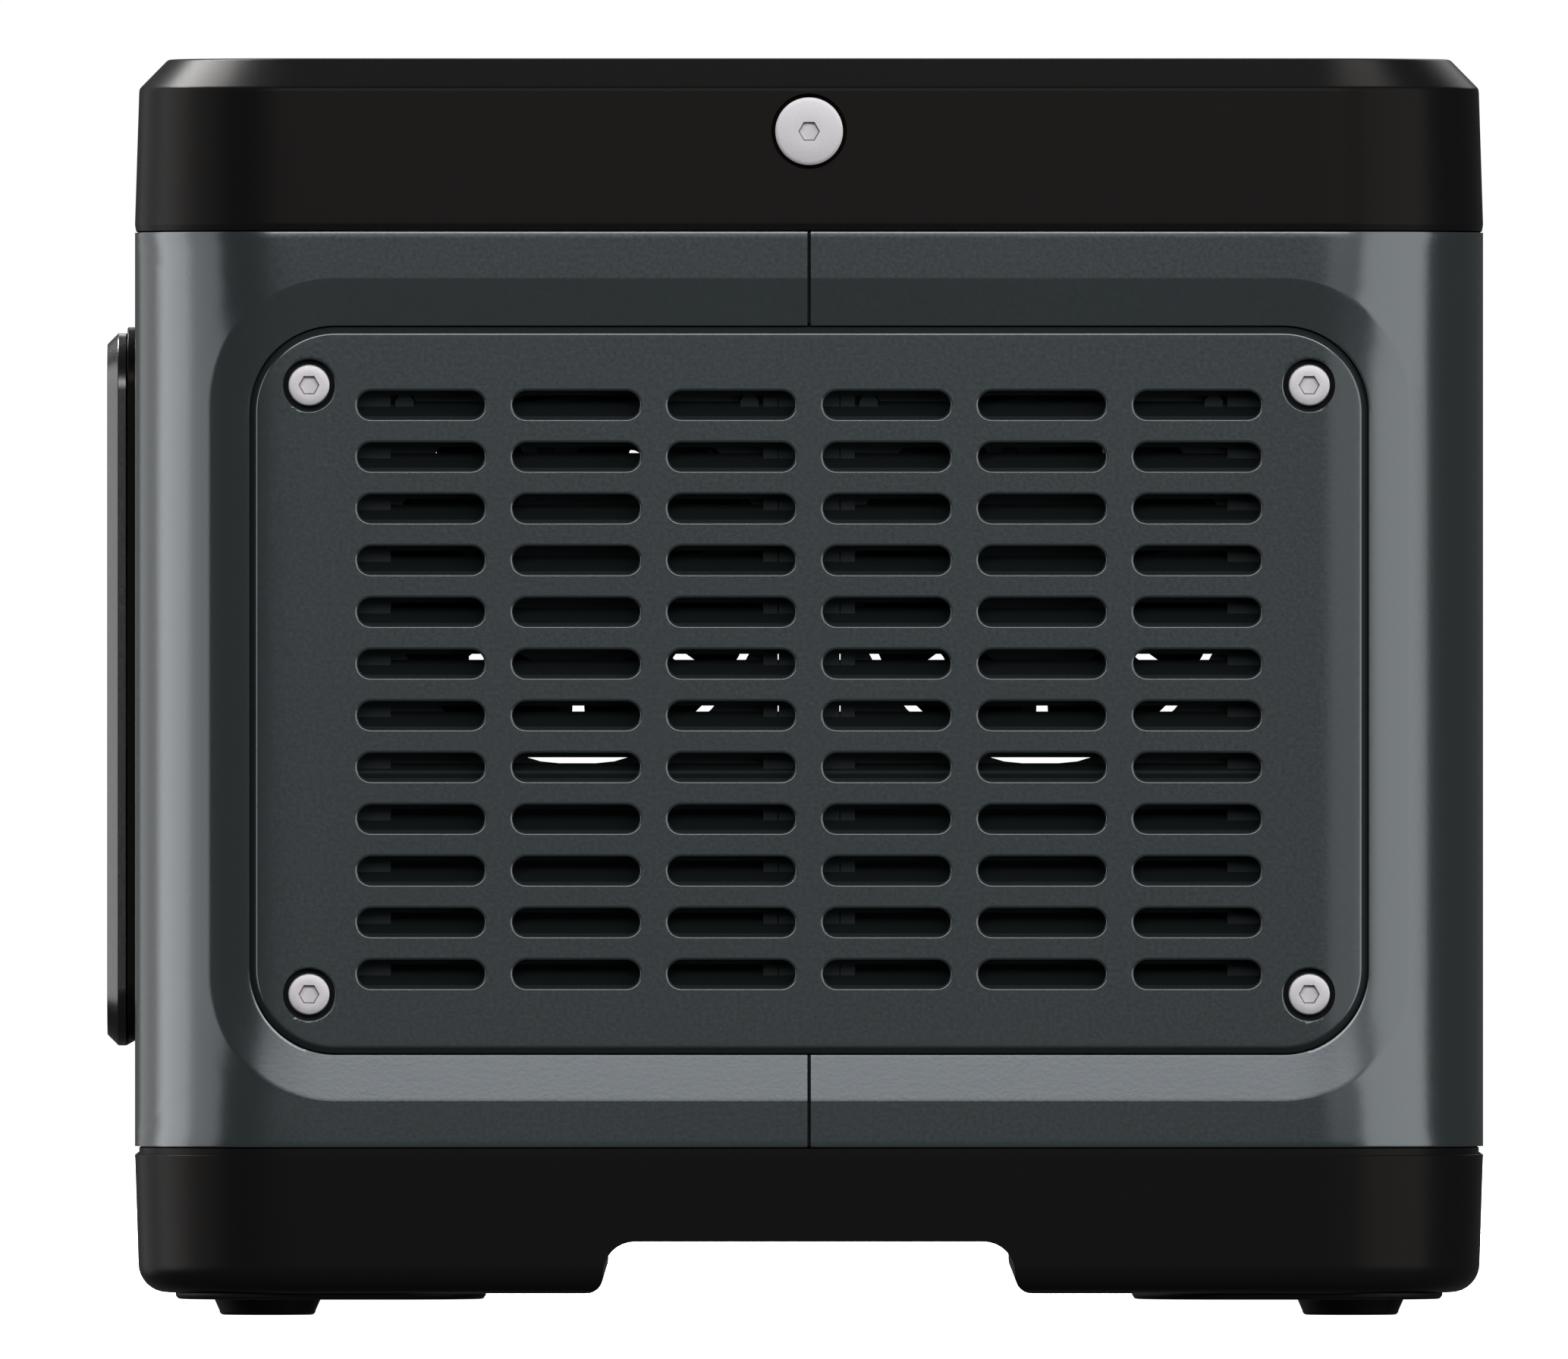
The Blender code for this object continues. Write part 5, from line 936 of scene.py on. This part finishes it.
# Bay cover
# The flap over the bay is a black ABS moulding with a barrel along its top edge, a thumb notch at the bottom and three
# ribs above the notch. It turns on a zinc-plated steel pin.
COVER_EDGE, COVER_CORNER, COVER_IN, COVER_OUT, COVER_TOP, COVER_NOTCH = 0.0005, 0.0015, 0.1372, 0.1396, 0.1995, 0.008
HINGE_Y, HINGE_Z, HINGE_PIN, HINGE_BARREL = 0.1368, 0.1980, 0.0010, 0.0026
RIB_HALF, RIB_LOW, RIB_PITCH, RIB_TALL = (0.012, 0.0005), 0.1605, 0.0026, 0.0003
ALONG_HINGE = ((0, 1, 0), (0, 0, 1), (1, 0, 0))
hinge_place = CASE_MIDDLE + (0, HINGE_Y, HINGE_Z)
cover_middle, cover_half, _, _ = faced("input_cover", REARWARD)
cover_low = cover_middle[1] - cover_half[1]
flap_plan = rectangle(cover_half[0], (COVER_TOP - cover_low) / 2, COVER_CORNER, 6, (0, (COVER_TOP + cover_low) / 2))
input_cover = make_piece("input_cover_moulding", [on_rear(crowned(COVER_IN, COVER_OUT, COVER_EDGE), flap_plan)], black_abs,
                         "cover", "black_case_plastic", "input_cover")
barrel = carried([(0, -cover_half[0]), (0, cover_half[0])], circle(HINGE_BARREL, 40), ALONG_HINGE, hinge_place)
notch = on_rear(lipped(COVER_EDGE, 0.006) + (0, COVER_OUT), circle(COVER_NOTCH, 56, (0, cover_low - FIT)))
ribs = [on_rear(crowned(COVER_IN, COVER_OUT + RIB_TALL, RIB_TALL * 0.8), rectangle(*RIB_HALF, 0.0004, 4, (0, RIB_LOW + rib * RIB_PITCH)))
        for rib in range(3)]
carve(input_cover, [solid(barrel)], ribs, operation="UNION")
carve(input_cover, [notch])
_, pin_half, _, _ = faced("cover_hinge_pin", REARWARD)
make_piece("cover_hinge_pin_steel", [solid(carried([(0, -pin_half[0]), (0, pin_half[0])], circle(HINGE_PIN, 24), ALONG_HINGE,
                                                   hinge_place))], zinc, "case", "steel", "cover_hinge_pin")

# Louvre and fan frames
# Behind each vent stands a frame of sloped slats in black polypropylene; behind the right-hand one two fans pull air
# through the case. These stay as the CAD made them, in their own finishes.


def refinish(material, *names):
    """Gives a finer material to CAD nodes that show as they are."""
    for name in names:
        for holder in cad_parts[name].material_slots:
            holder.material = material


black_inner = moulded_plastic("black_polypropylene", "#151a1b", 0.8, 0.55, 0.03, 0.04)
fan_black = moulded_plastic("black_glass_filled_polyester", "#15191a", 0.6, 0.48, 0.02, 0.10)
refinish(black_inner, "louvre_frame", "intake_frame")
refinish(fan_black, "fan_frame_front", "fan_frame_rear", "fan_rotor_front", "fan_rotor_rear")
refinish(white_nylon, "handle_bush_left", "handle_bush_right")

# Battery and electronics
# Two rows of cells in blue shrink film stand under a folded deck of black anodised aluminium sheet. A second deck
# carries the inverter, its extruded heat sink and the charger, on green solder-masked boards.


def solder_mask(name, colour, trace_mm):
    """Green solder mask: a glossy lacquer over copper, with paler blocks where tracks and pads lie under it."""
    material = bpy.data.materials.new(name)
    material.use_nodes = True
    tree = material.node_tree
    shader = tree.nodes["Principled BSDF"]
    base = np.array(linear(colour)[:3])
    place = add_node(tree, "ShaderNodeTexCoord")
    tracks = add_node(tree, "ShaderNodeTexBrick", {"Scale": 100 / trace_mm, "Color1": (*base, 1), "Color2": (*base * 1.5, 1),
                                                   "Mortar": (*base * 0.6, 1)}, {"Vector": (place, "Object")})
    shader.inputs["Roughness"].default_value = 0.3
    tree.links.new(tracks.outputs["Color"], shader.inputs["Base Color"])
    return material


blue_film = moulded_plastic("blue_shrink_film", "#2c5186", 5.0, 0.28, 0.05)
anodised = dull_metal("black_anodised_aluminium", "#1d1f20", 0.55, 0.4, 2)
extruded = dull_metal("extruded_aluminium", "#a9abad", 0.38, 1.0, 5)
green_board = solder_mask("green_solder_mask", "#1f5a34", 2.5)
refinish(blue_film, "cell_block_front", "cell_block_rear")
refinish(anodised, "battery_deck", "electronics_tray")
refinish(extruded, "heat_sink")
refinish(green_board, "bms_board", "inverter_board", "charger_board", "control_board")
